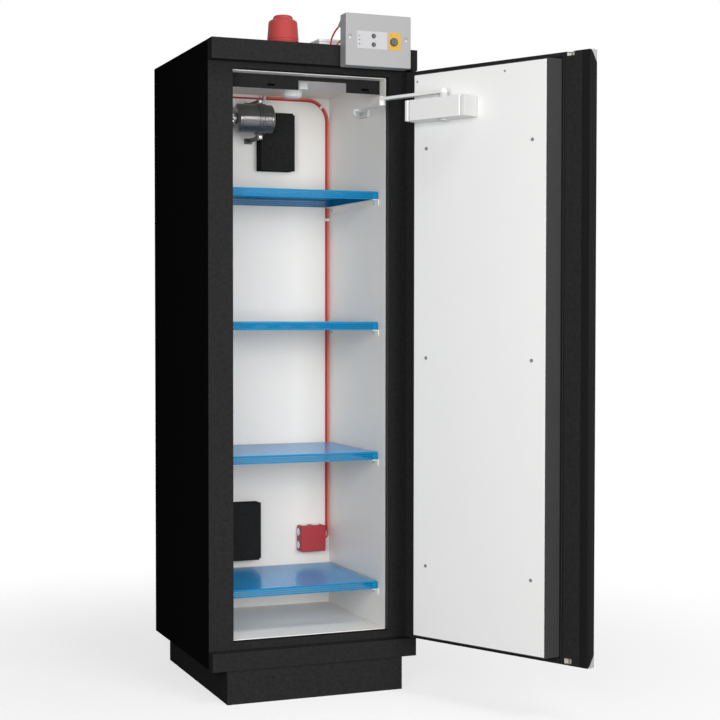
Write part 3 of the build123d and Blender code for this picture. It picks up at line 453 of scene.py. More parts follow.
def prism(
    outline: Points,
    low: float,
    high: float,
    axis: Axis,
    edge: float,
    curved: Optional[np.ndarray] = None,
) -> Shell:
    """Outline carried straight along an axis, with rounded rims.

    A ring is the outline moved in along its normals. The normals are the outline's
    central differences turned by a right angle.

    Args:
        outline: closed 2-D outline, counter-clockwise seen from the far end.
        low: start along the axis.
        high: end along the axis.
        axis: the axis.
        edge: radius of the rims.
        curved: for each side of the outline, whether it is curved. All of them when left out.

    Returns:
        The surface.
    """
    into = unit_rows(np.roll(outline, -1, axis=0) - outline)
    out_of = unit_rows(outline - np.roll(outline, 1, axis=0))
    run = unit_rows(into + out_of)
    normal = np.column_stack((run[:, 1], -run[:, 0]))
    steps = 3
    turn = np.linspace(0, np.pi / 2, steps + 1)
    inset, rise = edge * (1 - np.sin(turn)), edge * (1 - np.cos(turn))
    inset = np.concatenate((inset, inset[::-1]))
    rise = np.concatenate((rise, (high - low) - rise[::-1]))
    flat = outline[None] - normal[None] * inset[:, None, None]
    rings = placed(flat[..., 0], flat[..., 1], low + rise[:, None], axis)
    sides = np.ones(len(outline), bool) if curved is None else curved
    rims = np.array([True] * steps + [False] + [True] * steps)
    smooth = rims[:, None] | sides[None]
    return stacked(rings, smooth, rims[:, None] * np.ones(len(outline)))


def turned_shape(
    profile: Points,
    centre: Sequence[float],
    axis: Axis = Axis.Z,
    around: int = 48,
    ripple: Optional[Callable[[np.ndarray, np.ndarray], np.ndarray]] = None,
    worn: float = 0.0,
) -> Shell:
    """Profile of (radius, height) points turned about an axis, closed at both ends.

    The point at angle u of ring k is (r_k cos u, r_k sin u, h_k). A ripple multiplies
    the radius by a function of u and k.

    Args:
        profile: array of (radius, height) from one end to the other.
        centre: point on the axis that the heights are counted from.
        axis: the axis.
        around: points in a ring.
        ripple: function of (angle, ring number) that gives the radius's factor.
        worn: how exposed the faces are.

    Returns:
        The surface.
    """
    first, second, third = across(axis)
    angle = np.linspace(0, 2 * np.pi, around, endpoint=False)[None]
    radius = np.maximum(profile[:, :1], POLE)
    factor = 1.0 if ripple is None else ripple(angle, np.arange(len(profile))[:, None])
    a = centre[first] + radius * np.cos(angle) * factor
    b = centre[second] + radius * np.sin(angle) * factor
    rings = placed(a, b, centre[third] + profile[:, 1:], axis)
    shape = (len(profile) - 1, around)
    return stacked(rings, np.ones(shape, bool), np.full(shape, worn))


def tube(outline: Points, centre: Sequence[float], axis: Axis, around: int) -> Shell:
    """Closed outline of (radius, height) points turned about an axis, which makes a ring.

    Args:
        outline: closed outline.
        centre: point on the axis that the heights are counted from.
        axis: the axis.
        around: points in a ring.

    Returns:
        The surface, facing outwards.
    """
    first, second, third = across(axis)
    angle = np.linspace(0, 2 * np.pi, around, endpoint=False)
    a = centre[first] + outline[:, :1] * np.cos(angle)
    b = centre[second] + outline[:, :1] * np.sin(angle)
    rings = placed(a, b, centre[third] + outline[:, 1:], axis)
    rings = np.concatenate((rings, rings[:1]))
    shape = (len(outline), around)
    return sound(stacked(rings, np.ones(shape, bool), np.zeros(shape), ends=False))


def pierced(outer: Points, inner: Points, cells: np.ndarray, radius: float) -> tuple[Points, np.ndarray]:
    """Sheet between two lattices of points, with a six-sided hole in some cells.

    A cell spans one row and two columns. The six points on its rim are joined to the
    hole's points c + r (e cos u + f sin u), where c is the cell's middle, e and f run
    along its sides, and u is -90, -30, 30, 90, 150 and 210 degrees. The same hole is cut
    in both lattices and its wall joins them.

    Args:
        outer: array (rows, columns, 3) of the visible side.
        inner: array of the same shape, of the hidden side.
        cells: array (holes, 2) of the row and the first column of each cell.
        radius: radius of the holes.

    Returns:
        The points, and the four-sided faces.
    """
    rows, columns = outer.shape[:2]
    size = rows * columns
    lattice = np.arange(size).reshape(rows, columns)
    row, column = cells[:, 0], cells[:, 1]
    rim_rows = np.stack((row, row, row + 1, row + 1, row + 1, row), axis=1)
    rim_columns = np.stack((column + 1, column + 2, column + 2, column + 1, column, column), axis=1)
    rim = lattice[rim_rows, rim_columns]
    free = np.ones((rows - 1, columns - 1), bool)
    free[row, column] = free[row, column + 1] = False
    quads = grid_quads(rows, columns)[free]
    u = np.radians([-90, -30, 30, 90, 150, 210])
    sides = []
    for surface in (outer, inner):
        corners = surface.reshape(-1, 3)[rim]
        middle = corners[:, [1, 2, 4, 5]].mean(axis=1)
        e, f = unit_rows(corners[:, 1] - corners[:, 5]), unit_rows(corners[:, 3] - corners[:, 0])
        ring = e[:, None] * np.cos(u)[:, None] + f[:, None] * np.sin(u)[:, None]
        sides.append(middle[:, None] + radius * ring)
    holes = len(cells)
    points = np.vstack([part.reshape(-1, 3) for part in (outer, inner, *sides)])
    hole_out = 2 * size + np.arange(holes * 6).reshape(holes, 6)
    hole_in = hole_out + holes * 6
    next_rim, next_out, next_in = (np.roll(array, -1, axis=1) for array in (rim, hole_out, hole_in))
    sheet_out = (rim, next_rim, next_out, hole_out)
    sheet_in = (rim + size, hole_in, next_in, next_rim + size)
    wall = (hole_out, next_out, next_in, hole_in)
    rings = [np.stack(corners, axis=-1).reshape(-1, 4) for corners in (sheet_out, sheet_in, wall)]
    return points, np.vstack((quads, quads[:, ::-1] + size, *rings))


# Finishes


def node_group(
    name: str, inputs: Sequence[tuple[str, str, object]], outputs: Sequence[tuple[str, str]]
) -> bpy.types.NodeTree:
    """A shader node group with named sockets and its two end nodes, called in and out.

    Args:
        name: name of the group.
        inputs: (name, socket kind, default value) of each input.
        outputs: (name, socket kind) of each output.

    Returns:
        The group, still without the nodes between.
    """
    group = bpy.data.node_groups.new(name, "ShaderNodeTree")
    sockets = group.interface
    for label, kind, value in inputs:
        sockets.new_socket(label, in_out="INPUT", socket_type="NodeSocket" + kind).default_value = value
    for label, kind in outputs:
        sockets.new_socket(label, in_out="OUTPUT", socket_type="NodeSocket" + kind)
    group.nodes.new("NodeGroupInput").name = "in"
    group.nodes.new("NodeGroupOutput").name = "out"
    return group


def wire(tree: bpy.types.NodeTree, node: bpy.types.Node, inputs: dict) -> None:
    """Links or fills the inputs of a node.

    Args:
        tree: the node tree.
        node: the node.
        inputs: for each input, a socket, a node whose first output is meant, or a value.
    """
    for key, value in inputs.items():
        if isinstance(value, bpy.types.Node):
            value = value.outputs[0]
        if isinstance(value, bpy.types.NodeSocket):
            tree.links.new(value, node.inputs[key])
        else:
            node.inputs[key].default_value = value


def add_node(
    tree: bpy.types.NodeTree, kind: str, inputs: Optional[dict] = None, **values: object
) -> bpy.types.Node:
    """Adds a node, sets its properties and wires its inputs.

    Args:
        tree: the node tree.
        kind: the node's type without its ShaderNode prefix.
        inputs: what goes into its inputs, as wire takes it.
        **values: properties by name.

    Returns:
        The node.
    """
    node = tree.nodes.new("ShaderNode" + kind)
    for key, value in values.items():
        setattr(node, key, value)
    wire(tree, node, inputs or {})
    return node


def noise_at(
    tree: bpy.types.NodeTree, size: object, detail: float, stretch: object = None
) -> bpy.types.NodeSocket:
    """Noise over Object coordinates.

    Args:
        tree: the group.
        size: size of the noise in metres, a socket or a number.
        detail: levels of finer noise.
        stretch: socket with a factor for each axis, or None.

    Returns:
        The socket with the noise, from 0 to 1.
    """
    place = add_node(tree, "TexCoord").outputs["Object"]
    if stretch is not None:
        place = add_node(tree, "VectorMath", {0: place, 1: stretch}, operation="MULTIPLY")
    scale = add_node(tree, "Math", {0: 1.0, 1: size}, operation="DIVIDE")
    noise = add_node(tree, "TexNoise", {"Detail": detail, "Vector": place, "Scale": scale})
    return noise.outputs["Fac"]


def build_tone_drift() -> bpy.types.NodeTree:
    """Group that lets a colour drift a little: colour x (1 + amount x (2 noise - 1))."""
    inputs = [("Colour", "Color", (0.5, 0.5, 0.5, 1)), ("Amount", "Float", 0.05), ("Size", "Float", 0.2)]
    group = node_group("tone_drift", inputs, [("Colour", "Color")])
    given = group.nodes["in"].outputs
    noise = noise_at(group, given["Size"], 3.0)
    signed = add_node(group, "Math", {0: noise, 1: 2.0, 2: -1.0}, operation="MULTIPLY_ADD")
    factor = add_node(group, "Math", {0: signed, 1: given["Amount"], 2: 1.0}, operation="MULTIPLY_ADD")
    scaled = add_node(group, "VectorMath", {0: given["Colour"], "Scale": factor}, operation="SCALE")
    wire(group, group.nodes["out"], {"Colour": scaled})
    return group


def build_surface_grain() -> bpy.types.NodeTree:
    """Group that gives a fine relief, and a broad mask for gloss, both from noise."""
    broader = 40.0
    inputs = [("Size", "Float", 0.001), ("Stretch", "Vector", (1, 1, 1))]
    group = node_group("surface_grain", inputs, [("Height", "Float"), ("Mask", "Float")])
    given = group.nodes["in"].outputs
    fine = noise_at(group, given["Size"], 2.0, given["Stretch"])
    wide = add_node(group, "Math", {0: given["Size"], 1: broader}, operation="MULTIPLY")
    broad = noise_at(group, wide, 4.0, given["Stretch"])
    wire(group, group.nodes["out"], {"Height": fine, "Mask": broad})
    return group


def build_edge_wear_and_highlight() -> bpy.types.NodeTree:
    """Group that gives a mask on exposed edges, the worn attribute x a noise step: worn patches on most
    finishes, a painted highlight on the side panels.
    """
    edge_patch_size, edge_patch_starts, edge_patch_full = 0.012, 0.45, 0.7
    group = node_group("edge_wear_and_highlight", [("Amount", "Float", 0.5)], [("Mask", "Float")])
    step = add_node(
        group,
        "MapRange",
        {"From Min": edge_patch_starts, "From Max": edge_patch_full, "Value": noise_at(group, edge_patch_size, 5.0)},
        interpolation_type="SMOOTHSTEP",
    )
    exposed = add_node(group, "Attribute", attribute_name="worn").outputs["Fac"]
    edge_rub_and_highlight_mask = add_node(group, "Math", {0: step, 1: exposed}, operation="MULTIPLY")
    amount = group.nodes["in"].outputs["Amount"]
    total = add_node(group, "Math", {0: edge_rub_and_highlight_mask, 1: amount}, operation="MULTIPLY", use_clamp=True)
    wire(group, group.nodes["out"], {"Mask": total})
    return group


GROUPS = {group.name: group for group in (build_tone_drift(), build_surface_grain(), build_edge_wear_and_highlight())}


@dataclass(frozen=True)
class Finish:
    """One finish of the cabinet, as a procedural material.

    Attributes:
        name: name of the material.
        colour: base colour, linear.
        roughness: mean roughness.
        spread: how much the roughness varies.
        drift: share by which the colour drifts.
        drift_size: size of the drift in metres.
        grain: size of the fine relief in metres.
        relief: depth of the fine relief in metres.
        stretch: factor on each axis for the relief, far from 1 for brush marks.
        metallic: 1 for bare metal.
        coat: weight of a clear glossy coat.
        coat_roughness: roughness of the coat.
        specular: level of the plain reflection, 0.5 for most surfaces.
        bare: colour on exposed edges, worn-through metal on most finishes and a painted highlight on the side
            panels.
        edge_rub_and_highlight_amount: how strongly the bare colour shows on the exposed edges.
    """

    name: str
    colour: Colour
    roughness: float
    spread: float = 0.08
    drift: float = 0.04
    drift_size: float = 0.15
    grain: float = 0.0012
    relief: float = 0.00003
    stretch: Colour = (1.0, 1.0, 1.0)
    metallic: float = 0.0
    coat: float = 0.0
    coat_roughness: float = 0.1
    specular: float = 0.5
    bare: Colour = (0.3, 0.3, 0.3)
    edge_rub_and_highlight_amount: float = 0.0

    def group(self, tree: bpy.types.NodeTree, name: str, inputs: dict) -> bpy.types.Node:
        """Places a shared group in the material and sets its inputs."""
        node = tree.nodes.new("ShaderNodeGroup")
        node.node_tree = GROUPS[name]
        wire(tree, node, inputs)
        return node

    def material(self) -> bpy.types.Material:
        """The material, made the first time it is asked for."""
        if self.name in bpy.data.materials:
            return bpy.data.materials[self.name]
        material = bpy.data.materials.new(self.name)
        material.use_nodes = True
        tree = material.node_tree
        drift = {"Colour": (*self.colour, 1), "Amount": self.drift, "Size": self.drift_size}
        colour = self.group(tree, "tone_drift", drift).outputs["Colour"]
        # The bare colour on exposed edges: worn patches on most finishes, a painted highlight on the side
        # panels.
        if self.edge_rub_and_highlight_amount:
            edge_rub_and_highlight_mask = self.group(tree, "edge_wear_and_highlight", {"Amount": self.edge_rub_and_highlight_amount}).outputs["Mask"]
            mixed = {"B": (*self.bare, 1), "Factor": edge_rub_and_highlight_mask, "A": colour}
            colour = add_node(tree, "Mix", mixed, data_type="RGBA").outputs["Result"]
        grain = self.group(tree, "surface_grain", {"Size": self.grain, "Stretch": self.stretch}).outputs
        least = self.roughness - self.spread / 2
        gloss = add_node(tree, "Math", {0: grain["Mask"], 1: self.spread, 2: least}, operation="MULTIPLY_ADD")
        bump = add_node(tree, "Bump", {"Distance": self.relief, "Height": grain["Height"]})
        values = {
            "Base Color": colour,
            "Roughness": gloss,
            "Normal": bump.outputs["Normal"],
            "Metallic": self.metallic,
            "Coat Weight": self.coat,
            "Coat Roughness": self.coat_roughness,
            "Specular IOR Level": self.specular,
        }
        wire(tree, tree.nodes["Principled BSDF"], values)
        return material


POWDER_BLACK = Finish(
    "powder_black", (0.021, 0.021, 0.0212), 0.6, drift=0.35, drift_size=0.009, grain=0.0009,
    relief=0.00012, specular=0.0, edge_rub_and_highlight_amount=0.2, bare=(0.032, 0.032, 0.032),
)
# Side panels: the powder black made darker as painted shade for the sides turned from the light, with a
# lighter bare colour on their edges as a painted highlight.
SHADED_SIDE_BLACK = Finish(
    "side_black_painted_shade", (0.005, 0.005, 0.005), 0.6, drift=0.06, grain=0.0009, relief=0.00012, specular=0.0,
    edge_rub_and_highlight_amount=0.8, bare=(0.035, 0.035, 0.035),
)
LINER_WHITE = Finish(
    "liner_white", (0.87, 0.845, 0.805), 0.42, drift=0.012, grain=0.0015, relief=0.00004, specular=0.35
)
PANEL_WHITE = Finish(
    "panel_white", (0.80, 0.80, 0.795), 0.4, drift=0.01, grain=0.0015, relief=0.00004, specular=0.3,
    edge_rub_and_highlight_amount=0.1, bare=(0.66, 0.66, 0.66),
)
CLOSER_CAP = Finish("closer_cap", (0.51, 0.51, 0.506), 0.45, drift=0.01, grain=0.001, specular=0.1)
CLOSER_WHITE = Finish("closer_white", (0.76, 0.76, 0.755), 0.4, drift=0.01, grain=0.001, specular=0.2)
SHELF_BLUE = Finish(
    "shelf_blue", (0.010, 0.22, 0.48), 0.3, spread=0.06, drift=0.03, grain=0.0025, coat=0.85,
    coat_roughness=0.16,
)
SHELF_LIP = Finish(
    "shelf_lip_blue", (0.006, 0.20, 0.42), 0.45, spread=0.06, drift=0.03, grain=0.0025, specular=0.05
)
EDGE_GREY = Finish(
    "plug_edge_grey", (0.042, 0.042, 0.043), 0.6, drift=0.12, drift_size=0.05, grain=0.001,
    relief=0.00006, specular=0.1,
)
GRIP_BLACK = Finish("grip_black", (0.008, 0.008, 0.008), 0.5, grain=0.0009, relief=0.00004, specular=0.05)
SEAL_BLACK = Finish(
    "seal_rubber_black", (0.014, 0.014, 0.0145), 0.8, grain=0.0008, relief=0.00004, specular=0.05
)
STRIP_GREY = Finish("strip_grey", (0.05, 0.05, 0.05), 0.8, grain=0.0006, relief=0.00008, specular=0.1)
ZINC = Finish(
    "zinc_plate", (0.50, 0.51, 0.52), 0.42, spread=0.15, drift=0.08, drift_size=0.03, metallic=1.0,
    grain=0.002, relief=0.00001,
)
PIVOT_DARK = Finish(
    "pivot_dark", (0.03, 0.03, 0.03), 0.5, metallic=0.4, grain=0.001, relief=0.00002, specular=0.1
)
STAINLESS_X = Finish(
    "stainless_brushed", (0.175, 0.171, 0.166), 0.12, spread=0.04, drift=0.08, metallic=0.8,
    grain=0.0006, stretch=(0.03, 1, 1),
)
STAINLESS = Finish(
    "stainless_plain", (0.46, 0.45, 0.44), 0.28, spread=0.1, drift=0.05, metallic=0.9, grain=0.0015,
    relief=0.00001,
)
BRACKET_DARK = Finish("bracket_dark", (0.10, 0.10, 0.10), 0.45, metallic=0.6, grain=0.001)
MOULDED_WHITE = Finish(
    "moulded_white", (0.78, 0.78, 0.77), 0.4, drift=0.01, grain=0.0008, relief=0.00002, specular=0.3
)
MOULDED_GREY = Finish(
    "moulded_grey", (0.335, 0.335, 0.335), 0.5, drift=0.015, grain=0.0007, specular=0.2, edge_rub_and_highlight_amount=0.15,
    bare=(0.42, 0.42, 0.42),
)
MOULDED_RED = Finish("moulded_red", (0.40, 0.042, 0.052), 0.45, grain=0.0009, specular=0.2)
# Roof leads: the jacket red and orange made brighter, painted light that offsets the shade beside the panel
# on the roof.
LIT_LEAD_RED = Finish("lead_red_painted_light", (0.80, 0.07, 0.045), 0.4, grain=0.0007, relief=0.00002, specular=0.2)
LIT_LEAD_ORANGE = Finish("lead_orange_painted_light", (0.92, 0.32, 0.16), 0.4, grain=0.0007, relief=0.00002, specular=0.2)
SIREN_RED = Finish("siren_red", (0.385, 0.05, 0.046), 0.45, grain=0.0009, specular=0.15)
SIREN_PALE = Finish("siren_foot", (0.62, 0.34, 0.34), 0.45, grain=0.0009)
JACKET_RED = Finish("jacket_red", (0.56, 0.035, 0.045), 0.45, grain=0.0007, relief=0.00002, specular=0.2)
JACKET_ORANGE = Finish(
    "jacket_orange", (0.76, 0.20, 0.11), 0.45, grain=0.0007, relief=0.00002, specular=0.2
)
PLATE_PALE = Finish(
    "plate_pale", (0.45, 0.45, 0.46), 0.5, drift=0.01, grain=0.0008, relief=0.00002, specular=0.2
)
MOULDED_YELLOW = Finish(
    "moulded_yellow", (0.56, 0.33, 0.04), 0.45, drift=0.03, grain=0.0006, relief=0.00002, specular=0.2
)
BUTTON_GREY = Finish("button_grey", (0.055, 0.055, 0.055), 0.45, grain=0.0005)
MARK_GREY = Finish("mark_grey", (0.16, 0.16, 0.16), 0.6, grain=0.0005)
LAMP_LENS = Finish("lamp_lens", (0.10, 0.11, 0.10), 0.15, grain=0.0005, coat=1.0)
BOARD_PALE = Finish(
    "board_pale", (0.52, 0.50, 0.46), 0.9, drift=0.1, drift_size=0.02, grain=0.002, relief=0.0003
)
CAP_GREY = Finish("cap_grey", (0.42, 0.42, 0.42), 0.5, grain=0.0008, relief=0.00002, specular=0.2)
MEMBRANE_PALE = Finish("membrane_pale", (0.80, 0.84, 0.85), 0.5, grain=0.0008, relief=0.00002)
FIXING_GREY = Finish("fixing_grey", (0.20, 0.20, 0.20), 0.5, grain=0.0008, relief=0.00002, specular=0.2)
SCREW_GREY = Finish("screw_grey", (0.45, 0.45, 0.45), 0.4, metallic=0.3, grain=0.0006, relief=0.00001)
DARK_GAP = Finish("dark_gap", (0.004, 0.004, 0.004), 0.8, grain=0.001, specular=0.0)


# Pieces


def make_piece(
    name: str,
    shell: Shell,
    body: str,
    finishes: Sequence[Finish],
    nodes: Sequence[str] = (),
    merge: bool = False,
) -> bpy.types.Object:
    """Makes a visible piece of a surface and hands it to the frame.

    Args:
        name: name of the piece.
        shell: its surface.
        body: body of the model that it moves with.
        finishes: finish of each finish number.
        nodes: nodes of the model that it stands for.
        merge: whether points at the same place become one.

    Returns:
        The piece's object.
    """
    mesh = bpy.data.meshes.new(name)
    sizes = np.concatenate([np.full(len(faces), faces.shape[1]) for faces in shell.faces])
    corners = np.concatenate([faces.ravel() for faces in shell.faces])
    mesh.vertices.add(len(shell.points))
    mesh.vertices.foreach_set("co", np.ascontiguousarray(shell.points, np.float32).ravel())
    mesh.loops.add(len(corners))
    mesh.loops.foreach_set("vertex_index", corners.astype(np.int32))
    mesh.polygons.add(len(sizes))
    mesh.polygons.foreach_set("loop_start", np.concatenate(([0], np.cumsum(sizes)[:-1])).astype(np.int32))
    mesh.polygons.foreach_set("use_smooth", np.concatenate(shell.smooth))
    mesh.polygons.foreach_set("material_index", np.concatenate(shell.finish).astype(np.int32))
    worn = mesh.attributes.new("worn", "FLOAT", "FACE")
    worn.data.foreach_set("value", np.concatenate(shell.worn).astype(np.float32))
    mesh.update(calc_edges=True)
    if merge:
        soup = bmesh.new()
        soup.from_mesh(mesh)
        bmesh.ops.remove_doubles(soup, verts=soup.verts, dist=0.001 * MM)
        soup.to_mesh(mesh)
        soup.free()
    mesh.validate()
    return hand_over(bpy.data.objects.new(name, mesh), body, finishes, nodes)


def hand_over(
    piece: bpy.types.Object,
    body: str,
    finishes: Sequence[Finish],
    nodes: Sequence[str] = (),
) -> bpy.types.Object:
    """Links a piece, dresses it and lets it ride on its body.

    Args:
        piece: the object.
        body: body of the model that it moves with.
        finishes: its finishes, in the order of its material slots.
        nodes: nodes of the model that it stands for.

    Returns:
        The piece's object.
    """
    bpy.context.scene.collection.objects.link(piece)
    for finish in finishes:
        piece.data.materials.append(finish.material())
    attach(piece, body)
    if nodes:
        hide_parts(*nodes)
    log.info("%s: %d faces on %s", piece.name, len(piece.data.polygons), body)
    return piece


def eased_copy(
    name: str,
    node: str,
    body: str,
    finish: Finish,
    radius: float,
    steps: int = 2,
    sharp: float = 35.0,
) -> bpy.types.Object:
    """Copy of a folded sheet of the model with its sharp edges rounded.

    The copy's points are merged and its flat faces joined, then every edge whose faces
    meet at more than `sharp` degrees is rounded. The new faces count as exposed.

    Args:
        name: name of the piece.
        node: node of the model that it stands for.
        body: body of the model that it moves with.
        finish: its finish.
        radius: radius of the edges.
        steps: faces in a rounding.
        sharp: angle in degrees from which an edge is rounded.

    Returns:
        The piece's object.
    """
    same_place, same_plane = 0.002 * MM, np.radians(0.4)
    soup = bmesh.new()
    soup.from_mesh(frame["nodes"][node].data)
    bmesh.ops.remove_doubles(soup, verts=soup.verts, dist=same_place)
    bmesh.ops.dissolve_limit(soup, angle_limit=same_plane, verts=soup.verts, edges=soup.edges)
    worn = soup.faces.layers.float.new("worn")
    limit = np.radians(sharp)
    inner = [edge for edge in soup.edges if len(edge.link_faces) == 2]
    rounded = bmesh.ops.bevel(
        soup,
        geom=[edge for edge in inner if edge.calc_face_angle(0) > limit],
        offset=radius,
        offset_type="OFFSET",
        segments=steps,
        profile=0.5,
        affect="EDGES",
        clamp_overlap=True,
    )
    for face in soup.faces:
        face.smooth = False
        face.material_index = 0
    for face in rounded["faces"]:
        face[worn] = 1.0
        face.smooth = True
    mesh = bpy.data.meshes.new(name)
    soup.to_mesh(mesh)
    soup.free()
    original = points_of(frame["nodes"][node].data)
    kept = np.clip(points_of(mesh), original.min(axis=0), original.max(axis=0))
    mesh.vertices.foreach_set("co", kept.astype(np.float32).ravel())
    mesh.update()
    return hand_over(bpy.data.objects.new(name, mesh), body, [finish], [node])


def dress(finish: Finish, *nodes: str) -> None:
    """Gives nodes that keep their own shape a better material.

    Args:
        finish: the finish.
        *nodes: names of the nodes.
    """
    for node in nodes:
        materials = frame["nodes"][node].data.materials
        if not materials:
            materials.append(None)
        for index in range(len(materials)):
            materials[index] = finish.material()
        log.info("%s: dressed as %s", node, finish.name)


# Cabinet body


@dataclass
class Body:
    """Powder coated shell, door frame, fascias and plinth."""

    edge: float = 0.8 * MM
    frame_edge: float = 0.48 * MM
    header_edge: float = 0.4 * MM
    fold: float = 1.2 * MM
    ribs: int = 3
    rib_height: float = 1.5 * MM
    slot_x: tuple[float, float] = (-99.0 * MM, 183.0 * MM)
    slot_z: float = 1700.0 * MM
    slot_half: tuple[float, float] = (16.0 * MM, 5.5 * MM)
    box_reach: tuple[float, float] = (2.0 * MM, 12.0 * MM)

    def sheet_metal(self) -> None:
        """Folded sheets with their edges eased."""
        for name, node, finish, radius, steps in (
            ("shell_panels", "outer_shell", SHADED_SIDE_BLACK, self.edge, 2),
            ("door_frame", "front_frame", POWDER_BLACK, self.frame_edge, 2),
            ("upper_fascia", "top_fascia", POWDER_BLACK, self.fold, 3),
            ("lower_fascia", "bottom_fascia", POWDER_BLACK, self.fold, 3),
            ("base_plinth", "plinth", POWDER_BLACK, self.edge, 2),
            ("header", "header_plate", POWDER_BLACK, self.header_edge, 2),
        ):
            eased_copy(name, node, "cabinet", finish, radius, steps)

    def slot_shade_boxes(self) -> None:
        """Near-black boxes just behind the two slots of the header plate, painted shade that makes the slots
        read as dark holes.
        """
        back = box_of("header_plate")[0][1]
        near, far = (back + reach for reach in self.box_reach)
        half_x, half_z = self.slot_half
        boxes = []
        for x in self.slot_x:
            low, high = (x - half_x, near, self.slot_z - half_z), (x + half_x, far, self.slot_z + half_z)
            boxes.append(eased_box(low, high, 1.5 * MM, 0.5 * MM, Axis.Y))
        make_piece("slot_shade_boxes", joined(boxes), "cabinet", [DARK_GAP], ())

    def seal_strips(self) -> None:
        """Ribbed strips on both jambs: half-round ribs side by side on a flat back."""
        low, high = box_of("jamb_seal")
        share = np.linspace(0, 1, 6 * self.ribs + 1)
        wave = self.rib_height * (0.45 + 0.5 * np.abs(np.sin(np.pi * self.ribs * share)))
        crest = np.column_stack((wave, low[1] + (high[1] - low[1]) * share))
        outline = np.vstack((crest, [[0.0, high[1]], [0.0, low[1]]]))
        left, right = outline + (low[0], 0), (outline * (-1, 1) + (high[0], 0))[::-1]
        strips = [sound(prism(side, low[2], high[2], Axis.Z, 0.2 * MM)) for side in (left, right)]
        make_piece("jamb_strips", joined(strips), "cabinet", [STRIP_GREY], ["jamb_seal"])

    def build(self) -> None:
        """Builds and dresses the whole body."""
        self.sheet_metal()
        self.slot_shade_boxes()
        self.seal_strips()
        dress(LINER_WHITE, "inner_liner", "shelf_rails")
        dress(BOARD_PALE, "fire_boards")
        dress(ZINC, "levelling_feet")
        dress(SCREW_GREY, "cabinet_screws")


